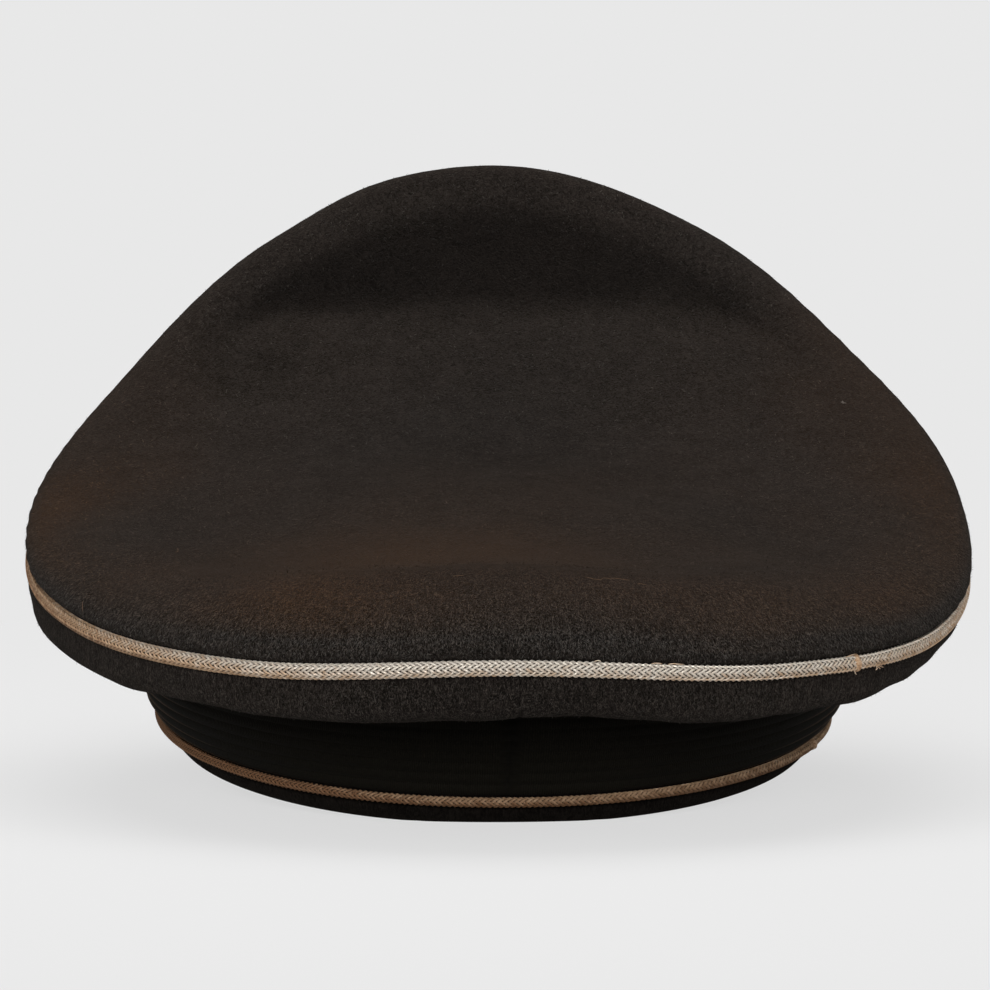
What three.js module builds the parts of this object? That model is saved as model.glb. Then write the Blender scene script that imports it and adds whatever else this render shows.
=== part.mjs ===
import * as THREE from "three";
import { LoftGeometry } from "three/addons/geometries/LoftGeometry.js";

// A peaked cap of dark wool with braided metal piping, at rest on its peak and the back of its band.
// Millimetres, +Z up. The cap faces -Y, so the wearer's right is -X.
// It is drawn upright on its level head opening first, and leans back onto the floor at the end.
// A turn is an angle round the cap in degrees: 0 at the centre back, 90 on the wearer's left, 180 in front.

// Walls, the gap that sewn pieces keep, and how far cloth tucks in behind the rim piping
const CLOTH = 2.0;
const BAND_WALL = 2.2;
const GAP = 0.3;
const TUCK = 1.2;

// Steps round the crown and the band, along the curves of a section, and round a cord
const CROWN_STEPS = 56;
const BAND_STEPS = 48;
const SIDE_STEPS = 7;
const ROLL_STEPS = 6;
const RIM_CORD_SIDES = 8;
const BAND_CORD_SIDES = 6;

// The stiff band is an oval at each height, and curls in towards its lower edge
const OVAL_POWER = 2.1;
const BAND_OVALS = [
  { height: 0, halfWidth: 80.4, halfLength: 99.6 },
  { height: 5, halfWidth: 83.8, halfLength: 100.6 },
  { height: 11, halfWidth: 88.0, halfLength: 101.5 },
  { height: 19, halfWidth: 91.2, halfLength: 102.3 },
  { height: 49, halfWidth: 93.0, halfLength: 103.2 },
];
const BAND_HEIGHT = BAND_OVALS.at(-1).height;

// The wool edge under the lower piping, and how much of it the floor presses flat
const WOOL_EDGE = { height: 4.2, out: 1.0, round: 0.5 };
const PRESSED_FLAT = 0.6;

// The two thin pipings of the band, and the ribbed cloth between them
const BAND_CORD = { out: 1.25, up: 1.25 };
const LOWER_CORD_HEIGHT = 5.8;
const UPPER_CORD_HEIGHT = 46.0;
const RIBS = { count: 14, depth: 0.55, cloth: 1.0 };

// The rim: an oval in plan, with a wide piping that runs a little outside it
const RIM = { halfWidth: 118.0, rear: 143.5, front: 129.5 };
const RIM_CORD = { out: 1.5, up: 1.9 };
const RIM_CORD_OUT = 0.5;

// The crown at every turn: the rim's height, the soft roll above it and the hanging side below it
const CROWN_ROWS = [
  { turn: 0, rim: 47.4, rollRise: 17, rollRun: 34, rollOut: 4, sag: 22, belly: 8 },
  { turn: 30, rim: 43.5, rollRise: 17, rollRun: 32, rollOut: 4, sag: 23, belly: 8 },
  { turn: 60, rim: 43.0, rollRise: 14, rollRun: 26, rollOut: 6, sag: 23, belly: 7 },
  { turn: 90, rim: 48.6, rollRise: 11, rollRun: 20, rollOut: 8, sag: 15, belly: 7 },
  { turn: 120, rim: 68.8, rollRise: 8, rollRun: 14, rollOut: 6, sag: 8, belly: 3 },
  { turn: 150, rim: 104.4, rollRise: 7, rollRun: 11, rollOut: 4, sag: 2, belly: 2 },
  { turn: 180, rim: 124.4, rollRise: 5, rollRun: 10, rollOut: 3, sag: 0, belly: 1 },
  { turn: 210, rim: 108.9, rollRise: 6, rollRun: 11, rollOut: 4, sag: 2, belly: 2 },
  { turn: 240, rim: 75.6, rollRise: 9, rollRun: 14, rollOut: 7, sag: 8, belly: 3 },
  { turn: 270, rim: 49.0, rollRise: 13, rollRun: 20, rollOut: 9, sag: 13, belly: 5 },
  { turn: 300, rim: 39.8, rollRise: 15, rollRun: 26, rollOut: 7, sag: 20, belly: 6 },
  { turn: 330, rim: 42.4, rollRise: 17, rollRun: 32, rollOut: 4, sag: 23, belly: 8 },
];

// The curves of the crown's sections: where their handles stand, and how far inside the rim they end
const SIDE_CURVE = { foot: 0.3, shoulder: 0.8, footSag: 0.3, shoulderIn: 3.0 };
const ROLL_CURVE = { footRise: 5.0, handle: 0.55, lastShare: 0.98 };
const SEAM_INSET = 0.4;

// The sunk middle of the top: how steeply it climbs to the roll, and the hollow just inside the roll
const TOP = { middleHeight: 68, climbPower: 1.8, hollow: 4.5, hollowPower: 2.2, hollowInFront: 0.4 };
const TOP_RINGS = [0.85, 0.66, 0.44, 0.22];

// The peak: its reach to each side, its depth, its slopes in degrees, and the bead along its edge
const PEAK = { reach: 66, depth: 50, fullness: 0.7, slope: 40, endSlope: 50, thickness: 2.2 };
const PEAK_ROOT = { height: 3.0, arch: 3.0, forward: 0.45, upright: 0.25 };
const PEAK_BEAD = { width: 3.2, rise: 1.0, step: 0.4 };
const PEAK_STEPS = { across: 26, down: 4, end: 0.92 };

const COLOURS = { wool: 0x2f2b28, mohair: 0x12110f, braid: 0xb5a18b, peak: 0x0d0d0d };

const { degToRad, lerp, clamp } = THREE.MathUtils;

// A column of the crown's table at any turn, on a smooth curve through its rows.
function crownValue(column, turn) {
  const count = CROWN_ROWS.length;
  const place = ((turn + 360) % 360) / (360 / count);
  const start = Math.floor(place);
  const t = place - start;
  const [a, b, c, d] = [-1, 0, 1, 2].map((step) => CROWN_ROWS[(start + step + count) % count][column]);
  const bend = 2 * a - 5 * b + 4 * c - d + t * (3 * b - 3 * c + d - a);
  return b + 0.5 * t * (c - a + t * bend);
}

// The band's oval at a height.
function bandSize(height) {
  const above = BAND_OVALS.findIndex((row, i) => i > 0 && height <= row.height);
  const high = BAND_OVALS[above];
  const low = BAND_OVALS[above - 1];
  const t = clamp((height - low.height) / (high.height - low.height), 0, 1);
  const halfLength = lerp(low.halfLength, high.halfLength, t);
  return { halfWidth: lerp(low.halfWidth, high.halfWidth, t), rear: halfLength, front: halfLength };
}

// The point of an oval at a turn, seen from above, with the oval grown by a distance.
function oval(size, turn, grow = 0) {
  const bend = (v) => Math.sign(v) * Math.abs(v) ** (2 / OVAL_POWER);
  const along = Math.cos(degToRad(turn));
  const length = along > 0 ? size.rear : size.front;
  return new THREE.Vector2(
    (size.halfWidth + grow) * bend(Math.sin(degToRad(turn))),
    (length + grow) * bend(along),
  );
}

// The level direction that leaves an oval squarely at a turn.
function outwardOf(size, turn) {
  const along = oval(size, turn + 0.5).sub(oval(size, turn - 0.5));
  return new THREE.Vector2(-along.y, along.x).normalize();
}

function standing(plan, height) {
  return new THREE.Vector3(plan.x, plan.y, height);
}

// A closed ring lofted through its section at each turn.
function ring(steps, sectionAt) {
  const turns = Array.from({ length: steps + 1 }, (_, i) => (360 * (i % steps)) / steps);
  return new LoftGeometry(turns.map(sectionAt));
}

// A section of the band: each point is a distance out from the band's face, and a height.
function bandSection(turn, outline) {
  return outline.map(([out, height]) => standing(oval(bandSize(height), turn, out), height));
}

// The inner side of a wall, to the left of the path of its outer side.
function innerSide(outer, thickness) {
  return outer.map((point, i) => {
    const before = outer[Math.max(i - 1, 0)];
    const after = outer[Math.min(i + 1, outer.length - 1)];
    const along = after.clone().sub(before).normalize();
    return new THREE.Vector2(point.x - along.y * thickness, point.y + along.x * thickness);
  });
}

// Points along a cubic curve in a section, from its two ends and their handles.
function sectionCurve(handles, steps) {
  const points = handles.map(([out, height]) => new THREE.Vector2(out, height));
  return new THREE.CubicBezierCurve(...points).getPoints(steps);
}

// The stiff band under its wool, with the plain wool edge at its foot.
function bandCore() {
  const { height, out, round } = WOOL_EDGE;
  const wall = BAND_OVALS.map((row) => row.height);
  const outer = wall.filter((level) => level > height).map((level) => [0, level]);
  const inner = wall.map((level) => [-BAND_WALL, level]).reverse();
  const outline = [[out, 0], [out, height - round], [out - round, height], [0, height], ...outer, ...inner];
  return ring(BAND_STEPS, (turn) => bandSection(turn, outline).map(pressedOnFloor));
}

// The ribbed cloth round the band, from one piping to the other.
function ribbedBand() {
  const low = LOWER_CORD_HEIGHT + BAND_CORD.up + GAP;
  const high = UPPER_CORD_HEIGHT - BAND_CORD.up - GAP;
  const pitch = (high - low) / RIBS.count;
  const face = GAP + RIBS.cloth;
  const groove = face - RIBS.depth;
  const outline = [];
  for (let i = 0; i < RIBS.count; i += 1) {
    outline.push([groove, low + i * pitch], [face, low + (i + 0.5) * pitch]);
  }
  const back = BAND_OVALS.map((row) => row.height).filter((level) => level > low && level < high);
  outline.push([groove, high], [GAP, high], ...back.reverse().map((level) => [GAP, level]), [GAP, low]);
  return ring(BAND_STEPS, (turn) => bandSection(turn, outline));
}

// A cord's section, square to its path.
function cordSection(centre, outward, height, radii, sides) {
  return Array.from({ length: sides }, (_, i) => {
    const angle = (2 * Math.PI * (i + 0.5)) / sides;
    const plan = centre.clone().addScaledVector(outward, radii.out * Math.cos(angle));
    return standing(plan, height + radii.up * Math.sin(angle));
  });
}

// A thin piping that lies against the band's face.
function bandPiping(height) {
  const size = bandSize(height);
  return ring(BAND_STEPS, (turn) => {
    const outward = outwardOf(size, turn);
    const centre = oval(size, turn, GAP).addScaledVector(outward, BAND_CORD.out);
    return cordSection(centre, outward, height, BAND_CORD, BAND_CORD_SIDES);
  });
}

// The wide piping between the crown's top and its side.
function rimPiping() {
  return ring(CROWN_STEPS, (turn) => {
    const outward = outwardOf(RIM, turn);
    const centre = oval(RIM, turn).addScaledVector(outward, RIM_CORD_OUT);
    return cordSection(centre, outward, crownValue("rim", turn), RIM_CORD, RIM_CORD_SIDES);
  });
}

// The side of the crown at a turn: out from the top of the band, hanging in a belly, and up to the rim.
function sideSection(turn) {
  const { foot, shoulder, footSag, shoulderIn } = SIDE_CURVE;
  const start = oval(bandSize(BAND_HEIGHT), turn);
  const rim = oval(RIM, turn);
  const reach = rim.distanceTo(start);
  const out = rim.sub(start).normalize();
  const seam = crownValue("rim", turn);
  const low = BAND_HEIGHT + GAP;
  const high = seam - RIM_CORD.up - GAP;
  const sag = crownValue("sag", turn);
  const underside = sectionCurve(
    [
      [0, low],
      [reach * foot, lerp(low, high, foot) - sag * footSag],
      [reach - shoulderIn + crownValue("belly", turn), lerp(low, high, shoulder) - sag],
      [reach - SEAM_INSET, high],
    ],
    SIDE_STEPS,
  );
  const tuck = reach - TUCK - GAP;
  const section = [
    ...underside,
    new THREE.Vector2(tuck, seam - GAP / 2),
    new THREE.Vector2(tuck - CLOTH, seam - GAP / 2),
    ...innerSide(underside, CLOTH).reverse(),
  ];
  return section.map((point) => standing(start.clone().addScaledVector(out, point.x), point.y));
}

// A quarter of the crown's side, which stops a hair short of the seam at each end.
function sidePanel(from, to) {
  const seam = degToRad(1) * RIM.rear;
  const short = GAP / 2 / seam;
  const steps = CROWN_STEPS / 4;
  const sections = Array.from({ length: steps + 1 }, (_, i) => {
    return sideSection(clamp(lerp(from, to, i / steps), from + short, to - short));
  });
  return new LoftGeometry(sections, { capStart: true, capEnd: true });
}

// The height of the top between its middle, at share 0, and the start of the roll, at share 1.
function topHeight(turn, share, rollHeight) {
  const climb = (rollHeight - TOP.middleHeight) * share ** TOP.climbPower;
  const rearward = lerp(TOP.hollowInFront, 1, Math.max(0, Math.cos(degToRad(turn))));
  return TOP.middleHeight + climb - TOP.hollow * rearward * Math.sin(Math.PI * share ** TOP.hollowPower);
}

// The crown's top at a turn: from its tuck behind the piping, over the roll and down to the middle.
function topSection(turn) {
  const rim = oval(RIM, turn);
  const reach = rim.length();
  const out = rim.normalize();
  const seam = crownValue("rim", turn);
  const low = seam + RIM_CORD.up + GAP;
  const rollRun = crownValue("rollRun", turn);
  const rollHeight = seam + crownValue("rollRise", turn);
  const join = reach - rollRun;
  const lastRise = rollHeight - topHeight(turn, ROLL_CURVE.lastShare, rollHeight);
  const slope = lastRise / ((1 - ROLL_CURVE.lastShare) * join);
  const handle = rollRun * ROLL_CURVE.handle;
  const foot = reach - SEAM_INSET;
  const roll = sectionCurve(
    [
      [foot, low],
      [foot + crownValue("rollOut", turn), low + ROLL_CURVE.footRise],
      [join + handle, rollHeight + handle * slope],
      [join, rollHeight],
    ],
    ROLL_STEPS,
  );
  const rings = TOP_RINGS.map((share) => {
    return new THREE.Vector2(join * share, topHeight(turn, share, rollHeight));
  });
  const upper = [...roll, ...rings];
  const tuck = reach - TUCK - GAP;
  const section = [
    new THREE.Vector2(tuck, seam + GAP / 2),
    ...upper,
    new THREE.Vector2(0, TOP.middleHeight),
    new THREE.Vector2(0, TOP.middleHeight - CLOTH),
    ...innerSide(upper, CLOTH).reverse(),
    new THREE.Vector2(tuck - CLOTH, seam + GAP / 2),
  ];
  return section.map((point) => standing(out.clone().multiplyScalar(point.x), point.y));
}

// A point of the peak: across is -1 to 1 from end to end, down is 0 at the band and 1 at the outer edge.
function peakPoint(across, down, raise) {
  const size = bandSize(WOOL_EDGE.height);
  const turn = 180 + across * PEAK.reach;
  const plan = oval(size, turn, WOOL_EDGE.out + GAP);
  const forward = plan.clone().normalize().lerp(new THREE.Vector2(0, -1), PEAK_ROOT.forward).normalize();
  const run = down * PEAK.depth * (1 - across ** 2) ** PEAK.fullness;
  const slope = degToRad(lerp(PEAK.slope, PEAK.endSlope, across ** 2));
  const lift = raise + PEAK_ROOT.arch * Math.sin(Math.PI * down) * (1 - across ** 2);
  const leaning = Math.min(1, down / PEAK_ROOT.upright);
  plan.addScaledVector(forward, run * Math.cos(slope) + lift * Math.sin(slope) * leaning);
  return standing(plan, PEAK_ROOT.height - run * Math.sin(slope) + lift * Math.cos(slope));
}

// The peak's section: along its underside to the edge, and back over the bead and its upper side.
function peakSection(across) {
  const bead = 1 - PEAK_BEAD.width / PEAK.depth;
  const plain = Array.from({ length: PEAK_STEPS.down + 1 }, (_, i) => (bead * i) / PEAK_STEPS.down);
  const under = [...plain, 1].map((down) => peakPoint(across, down, -PEAK.thickness));
  const upper = plain.map((down) => peakPoint(across, down, 0));
  const onBead = [1, bead + PEAK_BEAD.step / PEAK.depth];
  const raised = onBead.map((down) => peakPoint(across, down, PEAK_BEAD.rise));
  return [...under, ...raised, ...upper.reverse()];
}

function peak() {
  const sections = Array.from({ length: PEAK_STEPS.across + 1 }, (_, i) => {
    const place = lerp(-PEAK_STEPS.end, PEAK_STEPS.end, i / PEAK_STEPS.across);
    return peakSection(Math.sin((Math.PI / 2) * place));
  });
  return new LoftGeometry(sections, { capStart: true, capEnd: true });
}

// How far the cap leans back, and is lifted, when its peak and the back of its band are on the floor.
function restOnFloor() {
  const rear = bandSize(0).rear + WOOL_EDGE.out;
  let leaning = 0;
  for (let i = 0; i <= PEAK_STEPS.across; i += 1) {
    const edge = peakPoint(lerp(-1, 1, i / PEAK_STEPS.across), 1, -PEAK.thickness);
    const run = rear - edge.y;
    const sunk = Math.asin(PRESSED_FLAT / Math.hypot(run, edge.z));
    leaning = Math.max(leaning, Math.atan2(-edge.z, run) + sunk);
  }
  return { lean: leaning, lift: rear * Math.sin(leaning) - PRESSED_FLAT };
}

const { lean, lift } = restOnFloor();

// A point of the wool edge, brought up to the floor where it would sink into it.
function pressedOnFloor(point) {
  const height = point.z * Math.cos(lean) - point.y * Math.sin(lean) + lift;
  return height < 0 ? standing(point, point.z - height / Math.cos(lean)) : point;
}

function finish(colour, roughness, metalness = 0) {
  return new THREE.MeshStandardMaterial({ color: colour, roughness, metalness });
}

const wool = finish(COLOURS.wool, 0.95);
const mohair = finish(COLOURS.mohair, 0.8);
const braid = finish(COLOURS.braid, 0.45, 0.6);
const gloss = finish(COLOURS.peak, 0.15);

const pieces = {
  band_core: [bandCore(), wool],
  ribbed_band: [ribbedBand(), mohair],
  lower_band_piping: [bandPiping(LOWER_CORD_HEIGHT), braid],
  upper_band_piping: [bandPiping(UPPER_CORD_HEIGHT), braid],
  side_panel_rear_left: [sidePanel(0, 90), wool],
  side_panel_front_left: [sidePanel(90, 180), wool],
  side_panel_front_right: [sidePanel(180, 270), wool],
  side_panel_rear_right: [sidePanel(270, 360), wool],
  rim_piping: [rimPiping(), braid],
  crown_top: [ring(CROWN_STEPS, topSection), wool],
  peak: [peak(), gloss],
};

const cap = new THREE.Group();
for (const [name, [geometry, material]] of Object.entries(pieces)) {
  const mesh = new THREE.Mesh(geometry, material);
  mesh.name = name;
  cap.add(mesh);
}

// The cap leans back, and its origin comes onto the floor under the middle of its box.
cap.rotation.x = -lean;
cap.updateMatrixWorld(true);
const middle = new THREE.Box3().setFromObject(cap, true).getCenter(new THREE.Vector3());
cap.position.set(-middle.x, -middle.y, lift);

export default cap;
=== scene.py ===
"""The looks of a peaked cap of dark wool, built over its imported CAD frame.

Shapes are drawn in the cap's own pattern, in millimetres: upright on its head opening, facing -Y.
A turn is an angle round the cap in degrees: 0 at the centre back, 90 at +X and 180 in front.
Meshes are in metres, where the cap leans back onto its peak and the rear of its band.
"""

import logging
import math
from collections.abc import Callable
from dataclasses import dataclass, field
from enum import Enum

import bmesh
import bpy
import numpy as np
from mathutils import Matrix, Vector


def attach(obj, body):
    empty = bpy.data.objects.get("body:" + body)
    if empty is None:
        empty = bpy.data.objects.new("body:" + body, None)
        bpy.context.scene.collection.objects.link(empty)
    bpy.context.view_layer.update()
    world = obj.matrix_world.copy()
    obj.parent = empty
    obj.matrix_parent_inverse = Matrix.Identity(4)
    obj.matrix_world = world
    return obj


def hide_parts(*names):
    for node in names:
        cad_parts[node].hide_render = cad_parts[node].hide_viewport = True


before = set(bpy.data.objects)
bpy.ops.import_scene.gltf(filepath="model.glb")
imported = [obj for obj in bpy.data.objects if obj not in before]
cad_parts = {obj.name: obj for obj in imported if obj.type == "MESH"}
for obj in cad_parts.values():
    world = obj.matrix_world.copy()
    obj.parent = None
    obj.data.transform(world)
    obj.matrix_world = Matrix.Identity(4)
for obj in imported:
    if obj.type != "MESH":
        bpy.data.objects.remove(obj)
log = logging.getLogger("cap")

MM = 0.001
BODY = "root"
MERGE = 1e-6
TAU = 2 * math.pi

Array = np.ndarray
Socket = bpy.types.NodeSocket
Pair = tuple[float, float]
Colour = tuple[float, float, float, float]
Place = Callable[[Array, Array, Array], Array]
Marks = Callable[[Array, Array, Array], dict[str, Array]]


class Slot(Enum):
    """The record's material slots."""

    WOOL = "wool"
    RIBS = "ribbed_mohair"
    BRAID = "metal_braid"
    PEAK = "peak_gloss"


def unit(vectors: Array) -> Array:
    """Returns vectors of length one."""
    return vectors / np.linalg.norm(vectors, axis=-1, keepdims=True)


def mixed(low: Array, high: Array, share: Array) -> Array:
    """Returns the values a share of the way from low to high."""
    return low + (high - low) * share


def ramp(values: Array, start: float, end: float) -> Array:
    """Returns 0 up to the start, 1 past the end, and an even change between them."""
    return np.clip((values - start) / (end - start), 0, 1)


def bell(values: Array, middle: float, width: float) -> Array:
    """Returns 1 at the middle, falling off on both sides within a width."""
    return np.exp(-(((values - middle) / width) ** 2))


def cubic(handles: tuple, t: Array) -> Array:
    """Returns points on a cubic curve.

    Args:
        handles: Its two ends with their handles between them, each an array of points.
        t: The place of each point along the curve, from 0 to 1.
    """
    a, b, c, d = handles
    t = t[:, None]
    s = 1 - t
    return a * s**3 + 3 * b * t * s**2 + 3 * c * t**2 * s + d * t**3


def rumple(points: Array, wavelength: float, seed: int, waves: int = 10) -> Array:
    """Returns a smooth uneven field of heights, about -1 to 1, at points in space.

    Args:
        points: The points, in millimetres.
        wavelength: The usual distance between two rises, in millimetres.
        seed: Chooses the waves.
        waves: How many waves are added up.
    """
    rng = np.random.default_rng(seed)
    ways = unit(rng.normal(size=(waves, 3)))
    lengths = wavelength * rng.uniform(0.7, 1.5, waves)
    phases = rng.uniform(0, TAU, waves)
    heights = np.sin(points @ (ways * (TAU / lengths)[:, None]).T + phases)
    return heights.sum(axis=1) / math.sqrt(waves)


@dataclass(frozen=True)
class Pattern:
    """The cap's pattern: the band's ovals, the rim, and how the cap leans on the floor."""

    lean: float = 0.13063203
    place: tuple[float, float, float] = (0.0756, -3.6169, 12.5042)
    oval_power: float = 2.1
    gap: float = 0.3
    cloth: float = 2.0
    tuck: float = 1.2
    band_heights: tuple[float, ...] = (0, 5, 11, 19, 49)
    band_half_widths: tuple[float, ...] = (80.4, 83.8, 88.0, 91.2, 93.0)
    band_half_lengths: tuple[float, ...] = (99.6, 100.6, 101.5, 102.3, 103.2)
    rim_half_width: float = 118.0
    rim_rear: float = 143.5
    rim_front: float = 129.5
    rim_cord_up: float = 1.9
    foot_aside: float = 1.1
    foot_rise: float = 24.0
    rim_heights: tuple[float, ...] = (
        47.4, 43.5, 43.0, 48.6, 68.8, 104.4, 124.4, 108.9, 75.6, 49.0, 39.8, 42.4,
    )

    def oval(
        self, turn: Array, half_width: Array | float, rear: Array | float, front: Array | float
    ) -> Array:
        """Returns the points of ovals at turns, seen from above."""
        angle = np.radians(turn)
        across, along = np.sin(angle), np.cos(angle)
        power = 2 / self.oval_power
        length = np.where(along > 0, rear, front)
        x = half_width * np.sign(across) * np.abs(across) ** power
        y = length * np.sign(along) * np.abs(along) ** power
        return np.stack([x, y], axis=-1)

    def band(self, turn: Array, height: Array, out: Array | float = 0.0) -> Array:
        """Returns points on the band's face, or a distance out from it."""
        half_width = np.interp(height, self.band_heights, self.band_half_widths) + out
        half_length = np.interp(height, self.band_heights, self.band_half_lengths) + out
        plan = self.oval(turn, half_width, half_length, half_length)
        plan[:, 0] += self.foot_aside * ramp(height, self.foot_rise, 0.0)
        return np.column_stack([plan, height + 0 * turn])

    def rim(self, turn: Array) -> Array:
        """Returns points on the rim, seen from above."""
        return self.oval(turn, self.rim_half_width, self.rim_rear, self.rim_front)

    def around(self, rows: tuple[float, ...], turn: Array) -> Array:
        """Returns values on a smooth closed curve through rows that stand at even turns."""
        table = np.array(rows, dtype=float)
        count = len(table)
        spot = np.mod(turn, 360.0) / (360.0 / count)
        start = np.floor(spot).astype(int)
        t = spot - start
        a, b, c, d = (table[(start + step) % count] for step in (-1, 0, 1, 2))
        bend = 2 * a - 5 * b + 4 * c - d + t * (3 * b - 3 * c + d - a)
        return b + 0.5 * t * (c - a + t * bend)

    def seam(self, turn: Array) -> Array:
        """Returns the rim's height."""
        return self.around(self.rim_heights, turn)

    def settled(self, points: Array) -> Array:
        """Returns pattern points in metres, where the cap rests."""
        cos, sin = math.cos(self.lean), math.sin(self.lean)
        x, y, z = points.T
        return (np.column_stack([x, y * cos + z * sin, z * cos - y * sin]) + self.place) * MM

    def above_floor(self, points: Array) -> Array:
        """Returns pattern points with those under the floor brought up to it."""
        height = self.settled(points)[:, 2] / MM
        points[:, 2] -= np.minimum(height, 0) / math.cos(self.lean)
        return points


@dataclass(frozen=True)
class Weave:
    """A grid of cells that is laid along a shape.

    Columns run round the cap and rows along a section, from its foot upwards on the outside.
    """

    columns: int
    rows: int
    copies: int = 1
    size: Pair = (1.0, 1.0)

    def laid(
        self, name: str, place: Place, marks: Marks | None = None, closed_ends: bool = False
    ) -> bpy.types.Object:
        """Lays the grid and returns it as a smooth object whose outside faces out.

        Args:
            name: The object's name.
            place: Gives each point in metres from its copy, column and row.
            marks: Gives attributes of the points from the same numbers.
            closed_ends: Whether open ends are filled.
        """
        bm = bmesh.new()
        bm.loops.layers.uv.new("Cloth")
        for _ in range(self.copies):
            bmesh.ops.create_grid(bm, x_segments=self.columns, y_segments=self.rows, size=1.0, calc_uvs=True)
        piece = made(name, bm)
        mesh = piece.data
        spots = read(mesh.vertices, "co", 3)
        copy = np.arange(len(spots)) // ((self.columns + 1) * (self.rows + 1))
        column = np.rint((1 - spots[:, 0]) / 2 * self.columns).astype(int)
        row = np.rint((spots[:, 1] + 1) / 2 * self.rows).astype(int)
        for key, values in (marks(copy, column, row) if marks else {}).items():
            mark(mesh, key, values)
        mesh.vertices.foreach_set("co", place(copy, column, row).ravel())
        spread = read(mesh.uv_layers[0].data, "uv", 2)
        mesh.uv_layers[0].data.foreach_set("uv", (spread * self.size).ravel())
        bm = bmesh.new()
        bm.from_mesh(mesh)
        bmesh.ops.remove_doubles(bm, verts=bm.verts, dist=MERGE)
        if closed_ends:
            bmesh.ops.holes_fill(bm, edges=[edge for edge in bm.edges if edge.is_boundary], sides=0)
        bm.to_mesh(mesh)
        bm.free()
        mesh.shade_smooth()
        return piece


def linked(piece: bpy.types.Object) -> bpy.types.Object:
    """Returns the object after linking it to the scene."""
    bpy.context.scene.collection.objects.link(piece)
    return piece


def made(name: str, bm: bmesh.types.BMesh) -> bpy.types.Object:
    """Turns a bmesh into an object in the scene and returns it."""
    mesh = bpy.data.meshes.new(name)
    bm.to_mesh(mesh)
    bm.free()
    return linked(bpy.data.objects.new(name, mesh))


def applied(piece: bpy.types.Object) -> bpy.types.Object:
    """Returns the object with its modifiers made part of its mesh."""
    graph = bpy.context.evaluated_depsgraph_get()
    mesh = bpy.data.meshes.new_from_object(piece.evaluated_get(graph))
    piece.modifiers.clear()
    piece.data = mesh
    return piece


def read(items: bpy.types.bpy_prop_collection, key: str, width: int = 1) -> Array:
    """Returns a property of all the items, in rows where it has a width."""
    values = np.empty(len(items) * width)
    items.foreach_get(key, values)
    return values if width == 1 else values.reshape(-1, width)


def points_of(mesh: bpy.types.Mesh) -> Array:
    """Returns the mesh's points, in millimetres."""
    return read(mesh.vertices, "co", 3) / MM


def normals_of(mesh: bpy.types.Mesh) -> Array:
    """Returns the normals of the mesh's points."""
    return read(mesh.vertex_normals, "vector", 3)


def push(piece: bpy.types.Object, heights: Array) -> None:
    """Moves the points of a piece outwards along their normals, by heights in millimetres."""
    mesh = piece.data
    moved = points_of(mesh) + normals_of(mesh) * heights[:, None]
    mesh.vertices.foreach_set("co", (moved * MM).ravel())
    mesh.update()


def mark(mesh: bpy.types.Mesh, key: str, values: Array) -> None:
    """Gives the mesh's points an attribute."""
    mesh.attributes.new(key, "FLOAT", "POINT").data.foreach_set("value", values.astype(np.float32))


def mark_of(mesh: bpy.types.Mesh, key: str) -> Array:
    """Returns an attribute of the mesh's points."""
    return read(mesh.attributes[key].data, "value")


def turned_out(piece: bpy.types.Object) -> bpy.types.Object:
    """Returns a closed piece after turning its faces outwards."""
    bm = bmesh.new()
    bm.from_mesh(piece.data)
    bmesh.ops.recalc_face_normals(bm, faces=bm.faces)
    bm.to_mesh(piece.data)
    bm.free()
    return piece


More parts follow.
